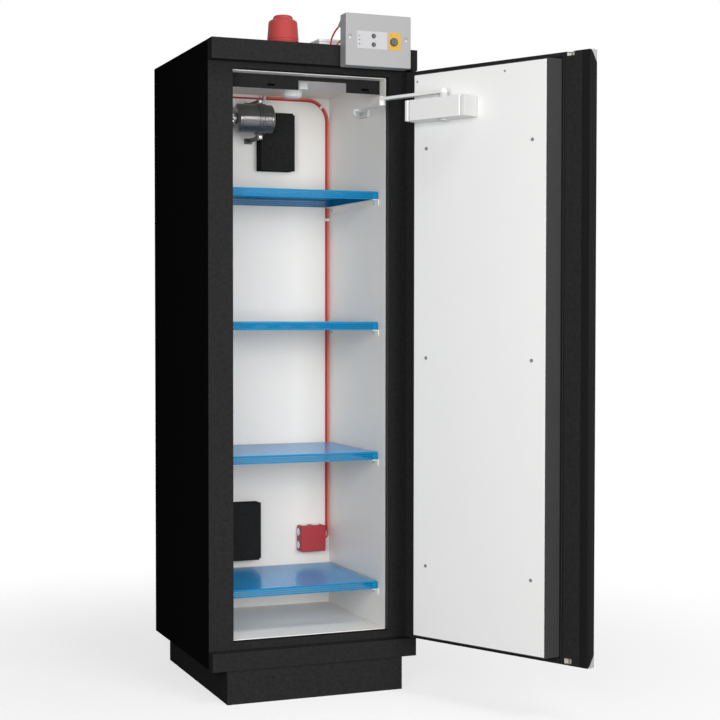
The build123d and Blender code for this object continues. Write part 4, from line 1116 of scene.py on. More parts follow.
@dataclass
class ShelfPan:
    """Perforated sheet pan with its four sides turned down."""

    pitch: float = 7.0 * MM
    row_share: float = 0.866
    hole: float = 2.65 * MM
    margin: float = 9.0 * MM
    bend: float = 3.0 * MM
    sheet: float = 1.5 * MM
    bend_steps: int = 3
    lip_rows: int = 3
    lip_hole_share: float = 0.8
    below_bend: float = 1.2 * MM
    above_hem: float = 2.0 * MM
    hem: float = 0.6 * MM

    def lattice(self, low: float, high: float, step: float, even: bool) -> np.ndarray:
        """Coordinates of a lattice between two margins, with the two outer edges added.

        Args:
            low: lower edge.
            high: upper edge.
            step: wished spacing.
            even: whether the number of spaces is even.

        Returns:
            The coordinates.
        """
        first, last = low + self.margin, high - self.margin
        count = int(round((last - first) / step))
        count += count % 2 if even else 0
        return np.concatenate(([low], np.linspace(first, last, count + 1), [high]))

    def top(self, xs: np.ndarray, ys: np.ndarray, z: float) -> Shell:
        """Flat perforated top: two lattices a sheet apart, with holes in staggered rows."""
        grid_x, grid_y = np.meshgrid(xs, ys)
        outer = np.stack((grid_x, grid_y, np.full_like(grid_x, z)), axis=-1)
        cells = []
        for row in range(1, len(ys) - 2):
            column = np.arange(2 - row % 2, len(xs) - 3, 2)
            cells.append(np.column_stack((np.full(len(column), row), column)))
        points, faces = pierced(outer, outer - (0, 0, self.sheet), np.vstack(cells), self.hole)
        return one_group(points, [(faces, False, 0.0)])

    def perimeter(self, xs: np.ndarray, ys: np.ndarray) -> tuple[np.ndarray, np.ndarray]:
        """Points round the top's rim, counter-clockwise from above, and the way that each faces."""
        nx, ny = len(xs) - 1, len(ys) - 1
        x = np.concatenate((xs[:-1], np.full(ny, xs[-1]), xs[:0:-1], np.full(ny, xs[0])))
        y = np.concatenate((np.full(nx, ys[0]), ys[:-1], np.full(nx, ys[-1]), ys[:0:-1]))
        ways = [(at == ends[-1]) * 1.0 - (at == ends[0]) for at, ends in ((x, xs), (y, ys))]
        return np.column_stack((x, y)), np.column_stack(ways)

    def skirt(self, rim: np.ndarray, facing: np.ndarray, z: float, floor: float) -> Shell:
        """Bend and lip on all sides, pierced by three rows of holes.

        Row k of the bend is the rim pushed out by r sin t and down by r (1 - cos t).
        The hidden side is the same with the radius less by the sheet.
        """
        t = np.linspace(0, np.pi / 2, self.bend_steps + 1)
        deep = z - floor
        rows = np.linspace(self.bend + self.below_bend, deep - self.above_hem, self.lip_rows + 1)
        straight = np.concatenate((rows, [deep - self.hem, deep]))
        sides = []
        for r, start in ((self.bend, 0.0), (self.bend - self.sheet, self.sheet)):
            out = np.concatenate((r * np.sin(t), np.full(len(straight), r)))
            down = np.concatenate((start + r * (1 - np.cos(t)), straight))
            flat = rim[None] + facing[None] * out[:, None, None]
            height = np.broadcast_to((z - down)[:, None, None], (*flat.shape[:2], 1))
            ring = np.concatenate((flat, height), axis=-1)[::-1]
            sides.append(np.concatenate((ring, ring[:, :1]), axis=1))
        corners = np.flatnonzero(np.abs(facing).sum(axis=1) > 1.5)
        cells = []
        for k in range(self.lip_rows):
            for a, b in zip(corners, np.append(corners[1:], len(rim))):
                column = np.arange(a + 1 + k % 2, b - 2, 2)
                cells.append(np.column_stack((np.full(len(column), 2 + k), column)))
        points, faces = pierced(*sides, np.vstack(cells), self.hole * self.lip_hole_share)
        return one_group(points, [(faces, False, 0.2)])

    def close_rim(self, rim: np.ndarray, facing: np.ndarray, floor: float) -> Shell:
        """Narrow face under the lips, between the visible and the hidden side."""
        count = len(rim)
        rings = [
            np.column_stack((rim + facing * out, np.full(count, floor)))
            for out in (self.bend, self.bend - self.sheet)
        ]
        quads = grid_quads(2, count, round_columns=True).reshape(-1, 4)
        return one_group(np.vstack(rings), [(quads[:, ::-1], False, 0.5)])

    def shell(self, node: str) -> Shell:
        """The whole pan as one closed surface."""
        low, high = box_of(node)
        reach = self.bend
        xs = self.lattice(low[0] + reach, high[0] - reach, self.pitch / 2, even=True)
        ys = self.lattice(low[1] + reach, high[1] - reach, self.pitch * self.row_share, even=False)
        rim, facing = self.perimeter(xs, ys)
        lips = self.skirt(rim, facing, high[2], low[2]) + self.close_rim(rim, facing, low[2])
        return self.top(xs, ys, high[2]) + lips.finished(1)


@dataclass
class Shelves:
    """The four pans."""

    pan: ShelfPan = field(default_factory=ShelfPan)
    count: int = 4

    def build(self) -> None:
        """Builds one pan and repeats it at the height of each shelf."""
        first = self.pan.shell("shelf_1")
        start = box_of("shelf_1")[0][2]
        for number in range(1, self.count + 1):
            node = f"shelf_{number}"
            pan = first.moved(z=box_of(node)[0][2] - start)
            finishes = [SHELF_BLUE, SHELF_LIP]
            make_piece(f"pan_{number}", pan, "cabinet", finishes, [node], merge=True)


# Fittings on the walls and under the ceiling


def screw_head(place: Sequence[float], axis: Axis, way: float, radius: float, height: float) -> Shell:
    """Domed screw head with a raised rim, standing on a face.

    Args:
        place: centre of its foot.
        axis: axis that it points along.
        way: 1 or -1 along that axis.
        radius: radius of the head.
        height: height of the head.

    Returns:
        The surface.
    """
    shape = np.array([(0, 0), (1, 0), (0.92, 0.75), (0.45, 1), (0, 0.92)]) * (radius, height)
    profile = rounded_line(shape, [0, radius * 0.05, radius * 0.2, radius * 0.15, 0], 2)
    return sound(turned_shape(profile * (1, way), place, axis, 20, worn=0.3))


def corner_screws(
    box: Box, inset: float, sink: float, way: float, radius: float, height: float, axis: Axis
) -> Shell:
    """Screw heads at the four corners of a lid's front.

    Args:
        box: lowest and highest corner of the lid.
        inset: distance of the screws from the lid's sides.
        sink: place of their feet along the axis.
        way: 1 or -1 along the axis, and less to flatten them.
        radius: radius of a head.
        height: height of a head.
        axis: axis that they point along, Y or Z.

    Returns:
        The surface of them all.
    """
    low, high = box
    other = Axis.Z if axis is Axis.Y else Axis.Y
    heads = []
    for x in (low[0] + inset, high[0] - inset):
        for side in (low[other.value] + inset, high[other.value] - inset):
            place = (x, sink, side) if axis is Axis.Y else (x, side, sink)
            heads.append(screw_head(place, axis, way, radius, height))
    return joined(heads)


@dataclass
class Ventilation:
    """Two box covers on the back wall and the duct spigot on the roof."""

    wide: float = 107.0 * MM
    tall: float = 175.0 * MM
    corner: float = 0.8 * MM
    notch: float = 5.0 * MM
    screw_inset: float = 18.0 * MM
    layers: tuple[tuple[float, float, float, float], ...] = (
        (1.0, 0, 4, 0.8), (0.93, 3.5, 9, 0.2), (0.99, 8, 50, 0.6)
    )

    def outline(self, left: float, bottom: float, notch_top: bool) -> Points:
        """Front outline of a cover, one right corner notched, clockwise seen from the front."""
        n, right, top = self.notch, left + self.wide, bottom + self.tall
        notched = [(right, bottom), (right, top - n), (right - n, top - n), (right - n, top)]
        if not notch_top:
            notched = [(right - n, bottom), (right - n, bottom + n), (right, bottom + n), (right, top)]
        corners = [(left, bottom), *notched, (left, top)]
        return rounded_line(corners, self.corner, 2, closed=True)[::-1, ::-1]

    def covers(self) -> None:
        """Both covers: a box on the wall, a sunk groove, and a notched front plate."""
        low, high = box_of("vent_covers")
        shells = []
        for left, bottom, notch_top in (
            (high[0] - self.wide, high[2] - self.tall, True),
            (low[0], low[2], False),
        ):
            outline = self.outline(left, bottom, notch_top)
            flat = np.zeros(len(outline), bool)
            middle = np.array([bottom + self.tall / 2, left + self.wide / 2])
            for scale, near, far, edge in self.layers:
                shape = (outline - middle) * scale + middle
                start, end = low[1] + near * MM, min(low[1] + far * MM, high[1])
                shells.append(sound(prism(shape, start, end, Axis.Y, edge * MM, curved=flat)))
            for z in (bottom + self.screw_inset, bottom + self.tall - self.screw_inset):
                shells.append(screw_head((middle[1], low[1] + 0.2 * MM, z), Axis.Y, -0.2, 3 * MM, 0.8 * MM))
        make_piece("vent_hoods", joined(shells), "cabinet", [POWDER_BLACK], ["vent_covers"])

    def spigot(self) -> None:
        """Round duct spigot with a rolled bead and a flange."""
        low, high = box_of("exhaust_spigot")
        end = (high[2] - low[2]) / MM
        bore, bare, bead, flange = 35.5, 36.9, 37.5, 52
        corners = [(bore, 0), (flange, 0), (flange, 2), (bare, 2), (bare, 28), (bead, 30),
                   (bead, 33), (bare, 35), (bare, end), (bore, end)]
        ring = tube(line_mm(corners, 0.4, closed=True), (0.0, (low[1] + high[1]) / 2, low[2]), Axis.Z, 72)
        make_piece("duct_spigot", ring, "cabinet", [ZINC], ["exhaust_spigot"], merge=True)

    def build(self) -> None:
        """Builds the covers and the spigot."""
        self.covers()
        self.spigot()


@dataclass
class Extinguisher:
    """Canister under the ceiling with its fluted head and clamp."""

    flutes: int = 12
    flute_depth: float = 0.13
    band_wide: float = 24.0 * MM

    def axis_of(self) -> tuple[float, float, float]:
        """Depth and height of the canister's axis, and its radius."""
        low, high = box_of("canister_body")
        return (low[1] + high[1]) / 2, (low[2] + high[2]) / 2, (high[2] - low[2]) / 2

    def vessel(self) -> None:
        """Drawn vessel: rolled left rim round a sunk end, two seams, bevelled right end."""
        y, z, _ = self.axis_of()
        low, high = box_of("canister_body")
        end = (high[0] - low[0]) / MM
        left = [(0, 2), (24, 2), (26, 0), (31, 0), (36, 1.4), (43.5, 6),
                (43.5, 12), (42.9, 12.8), (42.9, 13.6), (43.5, 14.4)]
        right = [(43.5, -11), (42.9, -10.2), (42.9, -9.4), (43.5, -8.6),
                 (43.5, -4), (38, 0), (30, 0), (28, -1.5), (0, -1.5)]
        line = line_mm(left + [(a, end + b) for a, b in right], 0.9, 3)
        shell = sound(turned_shape(line, (low[0], y, z), Axis.X, 96))
        make_piece("canister_vessel", shell, "cabinet", [STAINLESS_X], ["canister_body"])

    def valve(self) -> None:
        """Fluted head with radius R (1 - d (1 + cos n u) / 2) between plain collars and a sunk end."""
        y, z, _ = self.axis_of()
        low, high = box_of("canister_head")
        end = (high[0] - low[0]) / MM
        corners = [(0, 3), (8, 3), (9, 0), (16, 0), (18, 2), (18, end - 8), (15.5, end - 6.5),
                   (15.5, end - 4.5), (17.5, end - 3.5), (17.5, end), (0, end)]
        line = line_mm(corners, 0.6)
        fluted = (line[:, 1] < (end - 7.5) * MM) & (line[:, 0] > 11 * MM)

        def flute(angle: np.ndarray, ring: np.ndarray) -> np.ndarray:
            """Factor of the radius at an angle of a ring."""
            return 1 - self.flute_depth * fluted[ring] * (0.5 + 0.5 * np.cos(self.flutes * angle))

        shell = sound(turned_shape(line, (low[0], y, z), Axis.X, 144, ripple=flute))
        make_piece("canister_valve", shell, "cabinet", [STAINLESS], ["canister_head"])

    def band(self, left: float, y: float, z: float, r: float) -> Shell:
        """Clamp band with a rib at each rim and one in the middle, turned about the canister."""
        end = self.band_wide / MM
        half = end / 2
        corners = [(-0.3, 0), (3, 0), (3, 3), (1, 4.2), (1, half - 3), (3.2, half - 1.6), (3.2, half + 1.6),
                   (1, half + 3), (1, end - 4.2), (3, end - 3), (3, end), (-0.3, end)]
        return tube(line_mm(corners, 0.5, closed=True) + (r, left), (0, y, z), Axis.X, 96)

    def clamp(self) -> None:
        """Clamp band, ears, bolts with nuts, and two arms back to the wall."""
        y, z, r = self.axis_of()
        low, high = box_of("canister_mount")
        middle, wall = (low[0] + high[0]) / 2, high[1]
        foot = wall - 3 * MM
        nut = line_mm([(0, 0), (5, 0), (5, 3.3), (4.2, 4), (0, 4)], 0.3)
        nuts, dark = [], []
        for side in (1, -1):
            ear, arm, pad = (
                sorted((z + side * (r + a * MM), z + side * (r + b * MM)))
                for a, b in ((1, 17), (3, 17), (2, 19))
            )
            blocks = [(8, y + a * MM, y + b * MM, ear, 3, 0.5) for a, b in ((-3, -0.4), (0.4, 3))]
            blocks.append((1.5, y + 3 * MM, foot, arm, 1, 0.6))
            for half, near, far, (bottom, top), corner, edge in blocks:
                start, end = (middle - half * MM, near, bottom), (middle + half * MM, far, top)
                dark.append(eased_box(start, end, corner * MM, edge * MM, Axis.Y))
            dark.append(eased_box((low[0], foot, pad[0]), (high[0], wall, pad[1]), 3 * MM, 0.8 * MM, Axis.Y))
            for x in (middle - 9 * MM, middle + 9 * MM):
                dark.append(screw_head((x, foot, sum(pad) / 2), Axis.Y, -1, 2.6 * MM, 1.4 * MM))
            place = (middle, y - 3 * MM, z + side * (r + 9.5 * MM))
            nuts.append(sound(turned_shape(nut * (1, -1), place, Axis.Y, 6)))
        band = self.band(middle - self.band_wide / 2, y, z, r)
        whole = band + joined(dark).finished(1) + joined(nuts).finished(2)
        finishes = [STAINLESS_X, BRACKET_DARK, STAINLESS]
        make_piece("canister_clamp", whole, "cabinet", finishes, ["canister_mount"])

    def build(self) -> None:
        """Builds the vessel, its head and its clamp."""
        self.vessel()
        self.valve()
        self.clamp()


@dataclass
class Detector:
    """Smoke detector on its base, with the cable holder in front of it."""

    x: float = 36.0 * MM
    y: float = 0.0
    radius: float = 30.0 * MM
    bars: int = 18
    bar_depth: float = 0.09

    def build(self) -> None:
        """Base ring, barred smoke chamber and domed face, turned about the vertical."""
        low, high = box_of("smoke_detector")
        top, front = high[2], low[1]
        rim = self.radius / MM
        corners = [(0, -34), (19, -34), (26, -30), (27, -26), (25.5, -24.5), (25.5, -19.5),
                   (28.5, -18), (29, -13), (28, -12), (rim, -11), (rim, 0), (0, 0)]
        line = line_mm(corners, 0.9)
        chamber = (line[:, 1] < -19 * MM) & (line[:, 1] > -25 * MM)

        def bars(angle: np.ndarray, ring: np.ndarray) -> np.ndarray:
            """Factor of the radius: bars stand out of the chamber's ring."""
            return 1 + self.bar_depth * chamber[ring] * np.clip(3 * np.cos(self.bars * angle), 0, 1)

        head = sound(turned_shape(line, (self.x, self.y, top), Axis.Z, 144, ripple=bars))
        holder = eased_box(
            (16 * MM, front, top - 22 * MM), (43 * MM, front + 30 * MM, top), 3 * MM, 1.5 * MM
        )
        arm = eased_box(
            (self.x - 4 * MM, front + 29.5 * MM, top - 10 * MM),
            (self.x + 4 * MM, self.y - self.radius + 1 * MM, top),
            1 * MM, 0.6 * MM, Axis.Y,
        )
        lens = line_mm([(0, -1.2), (1.6, -1), (2, 0), (0, 0)], 0.3)
        place = (self.x - 12 * MM, self.y - 10 * MM, top - 32.8 * MM)
        whole = joined([head, holder, arm, sound(turned_shape(lens, place, Axis.Z, 16)).finished(1)])
        finishes = [MOULDED_WHITE, LAMP_LENS]
        make_piece("smoke_sensor", whole, "cabinet", finishes, ["smoke_detector"])


@dataclass
class SocketBox:
    """Red box low on the back wall with its lid and cable membranes."""

    seam: float = 1.0
    side_heights: tuple[float, float] = (350.0 * MM, 390.0 * MM)
    top_places: tuple[float, float] = (139.0 * MM, 176.0 * MM)
    sink: float = 3.0 * MM

    def membrane(self, place: Sequence[float], axis: Axis, way: float) -> Shell:
        """Stepped rubber membrane: a flange, a ring groove and a low nipple."""
        corners = [(0, 0), (12, 0), (12, 1.2), (10, 1.6), (9, 0.9), (7, 1.4), (5, 2.9), (0, 2.9)]
        return sound(turned_shape(line_mm(corners, 0.4) * (1, way), place, axis, 36))

    def build(self) -> None:
        """Box, lid with four corner screws, membranes and the seam between box and lid."""
        box = box_of("socket_box")
        case = layer(box, 0, (self.seam, None), 6, 0.4) + layer(box, 1.2, (-0.5, 3), 5, 0.4)
        make_piece("socket_case", case, "cabinet", [MOULDED_RED], ["socket_box"])
        box = box_of("socket_box_lid")
        lid = layer(box, 0, (0, None), 6, 2.5, steps=4) + layer(box, 14, (0.05, 4), 4, 0.4)
        foot = box[0][1] + 1.0 * MM
        heads = corner_screws(box, 8 * MM, foot, -0.6, 3.2 * MM, 1.5 * MM, Axis.Y)
        cover = lid.finished(0) + heads.finished(1)
        finishes = [MOULDED_RED, MOULDED_GREY]
        make_piece("socket_cover", cover, "cabinet", finishes, ["socket_box_lid"])
        low, high = box_of("cable_membranes")
        middle = (low[1] + high[1]) / 2
        left, top = low[0] + self.sink, high[2] - self.sink
        shells = [self.membrane((left, middle, z), Axis.X, -1) for z in self.side_heights]
        shells += [self.membrane((x, middle, top), Axis.Z, 1) for x in self.top_places]
        whole, nodes = joined(shells), ["cable_membranes"]
        make_piece("box_membranes", whole, "cabinet", [MEMBRANE_PALE], nodes)


# Fittings on the roof


@dataclass
class RoofFittings:
    """Siren, junction box and the two leads."""

    siren_x: float = -64.0 * MM
    siren_y: float = -205.0 * MM
    ribs: int = 40
    rib_depth: float = 0.006
    lid_tall: float = 9.0

    def siren(self) -> None:
        """Turned siren: foot, grooved base, tapered ribbed horn, stepped shoulder and cap."""
        corners = [(0, 5), (43.8, 5), (44.6, 7), (44.5, 12), (43.4, 12.6), (43.4, 13.6), (44.3, 14.2),
                   (44.0, 19.5), (42.9, 20), (42.9, 21), (43.8, 21.7), (40.3, 68), (38.5, 72.5), (33, 75.5),
                   (29.5, 76.5), (28.0, 80), (26.5, 85), (22, 88.2), (12, 88.9), (0, 89)]
        line = line_mm(corners, 1.2, 3)
        horn = (line[:, 1] > 24 * MM) & (line[:, 1] < 66 * MM)

        def ribs(angle: np.ndarray, ring: np.ndarray) -> np.ndarray:
            """Factor of the radius: shallow upright ribs round the horn."""
            return 1 - self.rib_depth * horn[ring] * (0.5 + 0.5 * np.cos(self.ribs * angle))

        centre = (self.siren_x, self.siren_y, box_of("siren")[0][2])
        body = sound(turned_shape(line, centre, Axis.Z, 240, ripple=ribs))
        foot = line_mm([(0, 0), (45.5, 0), (45.5, 5.2), (43.8, 6), (0, 6)], 0.6)
        ring = sound(turned_shape(foot, centre, Axis.Z, 96)).finished(1)
        make_piece("siren_horn", body + ring, "cabinet", [SIREN_RED, SIREN_PALE], ["siren"])

    def junction(self) -> None:
        """Junction box: case, lid with a seam, four lid screws."""
        box = box_of("roof_box")
        tall = (box[1][2] - box[0][2]) / MM
        seam = tall - self.lid_tall
        case = joined([
            layer(box, 1, (0, seam - 0.8), 4, 0.5, Axis.Z),
            layer(box, 2, (seam - 2, seam + 2), 3, 0.4, Axis.Z),
            layer(box, 0, (seam, tall - 0.4), 4, 2, Axis.Z),
        ])
        heads = corner_screws(box, 8 * MM, box[1][2] - 1.2 * MM, 0.8, 3 * MM, 1.4 * MM, Axis.Z)
        whole, finishes = case + heads.finished(1), [MOULDED_WHITE, CAP_GREY]
        make_piece("junction_case", whole, "cabinet", finishes, ["roof_box"])

    def build(self) -> None:
        """Builds the fittings and dresses the leads, glands and cables."""
        self.siren()
        self.junction()
        dress(LIT_LEAD_RED, "red_lead")
        dress(LIT_LEAD_ORANGE, "orange_lead")
        dress(MOULDED_GREY, "lead_glands")
        dress(JACKET_RED, "red_cable")
        dress(JACKET_ORANGE, "orange_cable")
        dress(MOULDED_WHITE, "cable_clips")


# Control panel


@dataclass
class ControlPanel:
    """Alarm panel on the top fascia: case, cover, plates, lamps, buttons and key switch."""

    lamp_x: float = 107.4 * MM
    lamp_heights: tuple[float, ...] = (1803.7 * MM, 1815.4 * MM, 1826.6 * MM)
    plate_split: tuple[float, float] = (191.0 * MM, 195.0 * MM)
    plate_lift: float = 0.5 * MM
    key_x: float = 210.4 * MM
    key_z: float = 1814.4 * MM
    mark_size: float = 6.5 * MM
    mark_lift: float = 0.05 * MM
    mark_half_thick: float = 0.04 * MM
    screw_places: tuple[float, float] = (80.4 * MM, 247.1 * MM)
    screw_z: float = 1825.0 * MM

    def case(self) -> None:
        """Back box and cover, both with rounded rims and a fine seam between them."""
        box = box_of("panel_box")
        back = layer(box, 0, (0.8, None), 3, 0.5) + layer(box, 1.5, (-1, 3), 2, 0.4)
        make_piece("alarm_case", back, "cabinet", [MOULDED_GREY], ["panel_box"])
        cover = layer(box_of("panel_cover"), 0, (0, None), 3, 1.6, steps=4)
        make_piece("alarm_cover", cover, "cabinet", [MOULDED_GREY], ["panel_cover"])

    def screw_shade_rings(self) -> None:
        """Dark ring round each screw of the cover, turned about the screw: painted shade of the recess that
        each screw sits in.
        """
        front = box_of("panel_cover")[0][1] + 0.02 * MM
        line = line_mm([(3.3, 0), (4.3, 0), (4.3, 0.25), (3.3, 0.25)], 0.08, 1, closed=True) * (1, -1)
        rings = [tube(line, (x, front, self.screw_z), Axis.Y, 32) for x in self.screw_places]
        make_piece("cover_shade_rings", joined(rings), "cabinet", [BUTTON_GREY], ())

    def plates(self) -> None:
        """White plate and yellow plate, thin sheets with rounded corners, and the lamps' lenses."""
        low, high = box_of("blank_plates")
        back = high[1] + self.plate_lift
        white, yellow = (
            eased_box((left, low[1], low[2]), (right, back, high[2]), 2 * MM, 0.15 * MM, Axis.Y)
            for left, right in ((low[0], self.plate_split[0]), (self.plate_split[1], high[0]))
        )
        finishes = [PLATE_PALE, MOULDED_YELLOW]
        whole = white + yellow.finished(1)
        make_piece("alarm_plates", whole, "cabinet", finishes, ["blank_plates"])
        lens = line_mm([(0, 0), (2.0, 0), (1.8, 0.6), (0.9, 1.0), (0, 1.0)], 0.2) * (1, -1)
        places = [(self.lamp_x, low[1], z) for z in self.lamp_heights]
        lenses = [sound(turned_shape(lens, place, Axis.Y, 20)) for place in places]
        make_piece("alarm_lamps", joined(lenses), "cabinet", [LAMP_LENS], ["panel_lamps"])

    def buttons(self) -> None:
        """Push buttons: a collar, a skirt and a dished cap, turned about their own axes."""
        for node in ("button_1", "button_2"):
            low, high = box_of(node)
            end, r = (high[1] - low[1]) / MM, 6.25
            corners = [(0, 0), (8, 0), (8, 2), (r, 2), (r, end - 1.2), (r - 1, end), (r - 2, end - 0.2),
                       (2, end - 0.9), (0, end - 1)]
            centre = ((low[0] + high[0]) / 2, high[1], (low[2] + high[2]) / 2)
            cap = sound(turned_shape(line_mm(corners, 0.35) * (1, -1), centre, Axis.Y, 40))
            make_piece(node.replace("button", "push_cap"), cap, node, [BUTTON_GREY], [node])

    def marks(self) -> None:
        """Plain numbers beside the lamps and 0 and I by the key, cut as thin flat letters."""
        front = box_of("blank_plates")[0][1] - self.mark_lift
        heights = [z - self.mark_size * 0.35 for z in self.lamp_heights]
        places = [(text, self.lamp_x + 5 * MM, z) for text, z in zip("321", heights)]
        places += [(text, self.key_x + x * MM, self.key_z + 15 * MM) for text, x in (("0", -11), ("I", 9))]
        soup = bmesh.new()
        for text, x, z in places:
            curve = bpy.data.curves.new("mark", "FONT")
            curve.body, curve.size, curve.extrude = text, self.mark_size, self.mark_half_thick
            holder = bpy.data.objects.new("mark", curve)
            flat = bpy.data.meshes.new_from_object(holder)
            flat.transform(Matrix.Translation((x, front, z)) @ Matrix.Rotation(np.pi / 2, 4, "X"))
            soup.from_mesh(flat)
            bpy.data.objects.remove(holder)
        bmesh.ops.remove_doubles(soup, verts=soup.verts, dist=0.0001 * MM)
        mesh = bpy.data.meshes.new("alarm_marks")
        soup.to_mesh(mesh)
        soup.free()
        hand_over(bpy.data.objects.new("alarm_marks", mesh), "cabinet", [MARK_GREY], ())

    def build(self) -> None:
        """Builds the panel."""
        self.case()
        self.screw_shade_rings()
        self.plates()
        self.buttons()
        self.marks()
        dress(BUTTON_GREY, "key_switch_body")
        dress(BRACKET_DARK, "key_core")


# Door


@dataclass
class Door:
    """The door leaf, its plug, seal, grip and fixings, laid out on the closed door."""

    seal_wide: float = 10.0 * MM
    seal_tall: float = 5.5 * MM
    bulb: float = 2.6 * MM
    screw_x: tuple[float, float] = (-177.0 * MM, 177.0 * MM)
    screw_z: tuple[float, float, float] = (370.0 * MM, 943.0 * MM, 1515.0 * MM)
    small_screw_x: tuple[float, float] = (209.0 * MM, -88.0 * MM)
    small_screw_z: float = 1700.0 * MM

    def leaf(self) -> None:
        """Folded skin, plug surround, white panel and grip with their edges eased."""
        for name, node, finish, radius, slot, steps, sharp in (
            ("door_leaf", "door_skin", POWDER_BLACK, 1.0, "black_steel", 2, 35),
            ("plug_surround", "plug_rim", EDGE_GREY, 0.5, "dark_plastic", 2, 35),
            ("plug_panel", "inner_panel", PANEL_WHITE, 0.9, "white_steel", 3, 35),
            ("grip_profile", "edge_grip", GRIP_BLACK, 0.6, "black_steel", 2, 50),
            ("grip_ends", "grip_caps", CAP_GREY, 0.5, "grey_plastic", 2, 50),
        ):
            eased_copy(name, node, "door", finish, radius * MM, steps, sharp)
        dress(BOARD_PALE, "door_core")
        dress(PIVOT_DARK, "pivot_pins")

    def seal(self) -> None:
        """Bulb seal round the plug: a lipped profile carried round a rectangle with mitred corners.

        The profile's distance from the plug and its height over the flange are taken at
        each corner of the ring, so the seal is four straight runs.
        """
        low, high = HINGE.closed_box("door_gasket")
        w, h, r = self.seal_wide, self.seal_tall, self.bulb
        turn = np.linspace(-0.35 * np.pi, 1.15 * np.pi, 12)
        bulb = np.column_stack((w * 0.62 + r * np.cos(turn), h - 2.7 * MM + r * np.sin(turn)))
        lip = [[w * 0.15, 1.6 * MM], [0.3 * MM, 2.6 * MM], [0.3 * MM, 0.0]]
        profile = np.vstack(([[w, 0.0], [w, 1.2 * MM]], bulb, lip))
        out, rise = profile[:, 0] - w, profile[:, 1]
        way = np.array([[-1, -1], [1, -1], [1, 1], [-1, 1]])
        square = np.where(way < 0, low[[0, 2]], high[[0, 2]])
        ring = square[None] + way[None] * out[:, None, None]
        rings = placed(ring[..., 1], ring[..., 0], low[1] + rise[:, None], Axis.Y)
        rings = np.concatenate((rings, rings[:1]))
        shape = (len(profile), 4)
        shell = sound(stacked(rings, np.zeros(shape, bool), np.zeros(shape), ends=False)).mapped(HINGE.opened)
        make_piece("door_seal", shell, "door", [SEAL_BLACK], ["door_gasket"], merge=True)

    def fixings(self) -> None:
        """Screw heads on the plug panel, six large ones and two small ones."""
        face = HINGE.closed_box("door_screws")[0][1]
        heads = [(x, z, 5 * MM) for x in self.screw_x for z in self.screw_z]
        heads += [(x, self.small_screw_z, 3 * MM) for x in self.small_screw_x]
        shells = [screw_head((x, face, z), Axis.Y, 1, radius, 2 * MM) for x, z, radius in heads]
        whole = joined(shells).mapped(HINGE.opened)
        make_piece("panel_fixings", whole, "door", [FIXING_GREY], ["door_screws"])

    def build(self) -> None:
        """Builds the door leaf."""
        self.leaf()
        self.seal()
        self.fixings()


@dataclass
class Closer:
    """Door closer on the plug panel with its two arms and its shoe on the liner."""

    cap: float = 14.0 * MM
    seam: float = 1.0 * MM
    plate: float = 5.6 * MM
    bottom: float = 1586.0 * MM
    top: float = 1642.0 * MM
    spindle: tuple[float, float] = (92.0 * MM, -183.0 * MM)

    def end_plate(self, cap: Shell, reach: float) -> Shell:
        """The free end cap with the second finish on the faces that lie wholly before x = reach."""
        numbers = [(cap.points[faces][..., 0].max(axis=1) < reach).astype(int) for faces in cap.faces]
        return Shell(cap.points, cap.faces, cap.smooth, cap.worn, numbers)

    def case(self) -> None:
        """Closer body: a long case between two end caps, with spindle bosses above and below."""
        (left, near, _), (right, far, _) = HINGE.closed_box("closer_body")
        cap, seam = self.cap, self.seam
        first, middle, last = (
            eased_box((a, near, self.bottom), (b, far, self.top), corner * MM, 1.6 * MM)
            for a, b, corner in (
                (left, left + cap, 5), (left + cap + seam, right - cap - seam, 4.4), (right - cap, right, 5)
            )
        )
        into, sunk = 2 * MM, 1.5 * MM
        core = eased_box(
            (left + cap - into, near + sunk, self.bottom + sunk),
            (right - cap + into, far - sunk, self.top - sunk),
            4 * MM, 0.5 * MM, Axis.X,
        )
        boss = line_mm([(0, 0), (15, 0), (15, 2), (13, 3.4), (12.4, 9), (11, 12.7), (0, 12.7)], 0.8)
        plug = line_mm([(0, -5), (11, -5), (12.5, -4), (13, 0), (0, 0)], 0.6)
        bosses = [
            sound(turned_shape(line, (*self.spindle, z), Axis.Z, 40)).finished(1)
            for line, z in ((boss, self.top), (plug, self.bottom))
        ]
        whole = joined([self.end_plate(first, left + self.plate), middle, last, core, *bosses])
        whole, finishes = whole.mapped(HINGE.opened), [CLOSER_WHITE, CLOSER_CAP]
        make_piece("closer_case", whole, "door", finishes, ["closer_body"])

    def build(self) -> None:
        """Builds the case and eases the arms and the shoe."""
        self.case()
        for name, node, body, radius, slot in (
            ("main_arm", "closer_main_arm", "closer_main_arm", 1.2, "white_steel"),
            ("forearm", "closer_forearm", "closer_forearm", 0.6, "zinc_steel"),
            ("arm_shoe", "closer_shoe", "cabinet", 1.0, "white_steel"),
        ):
            eased_copy(name, node, body, CLOSER_WHITE, radius * MM, 2, 50)


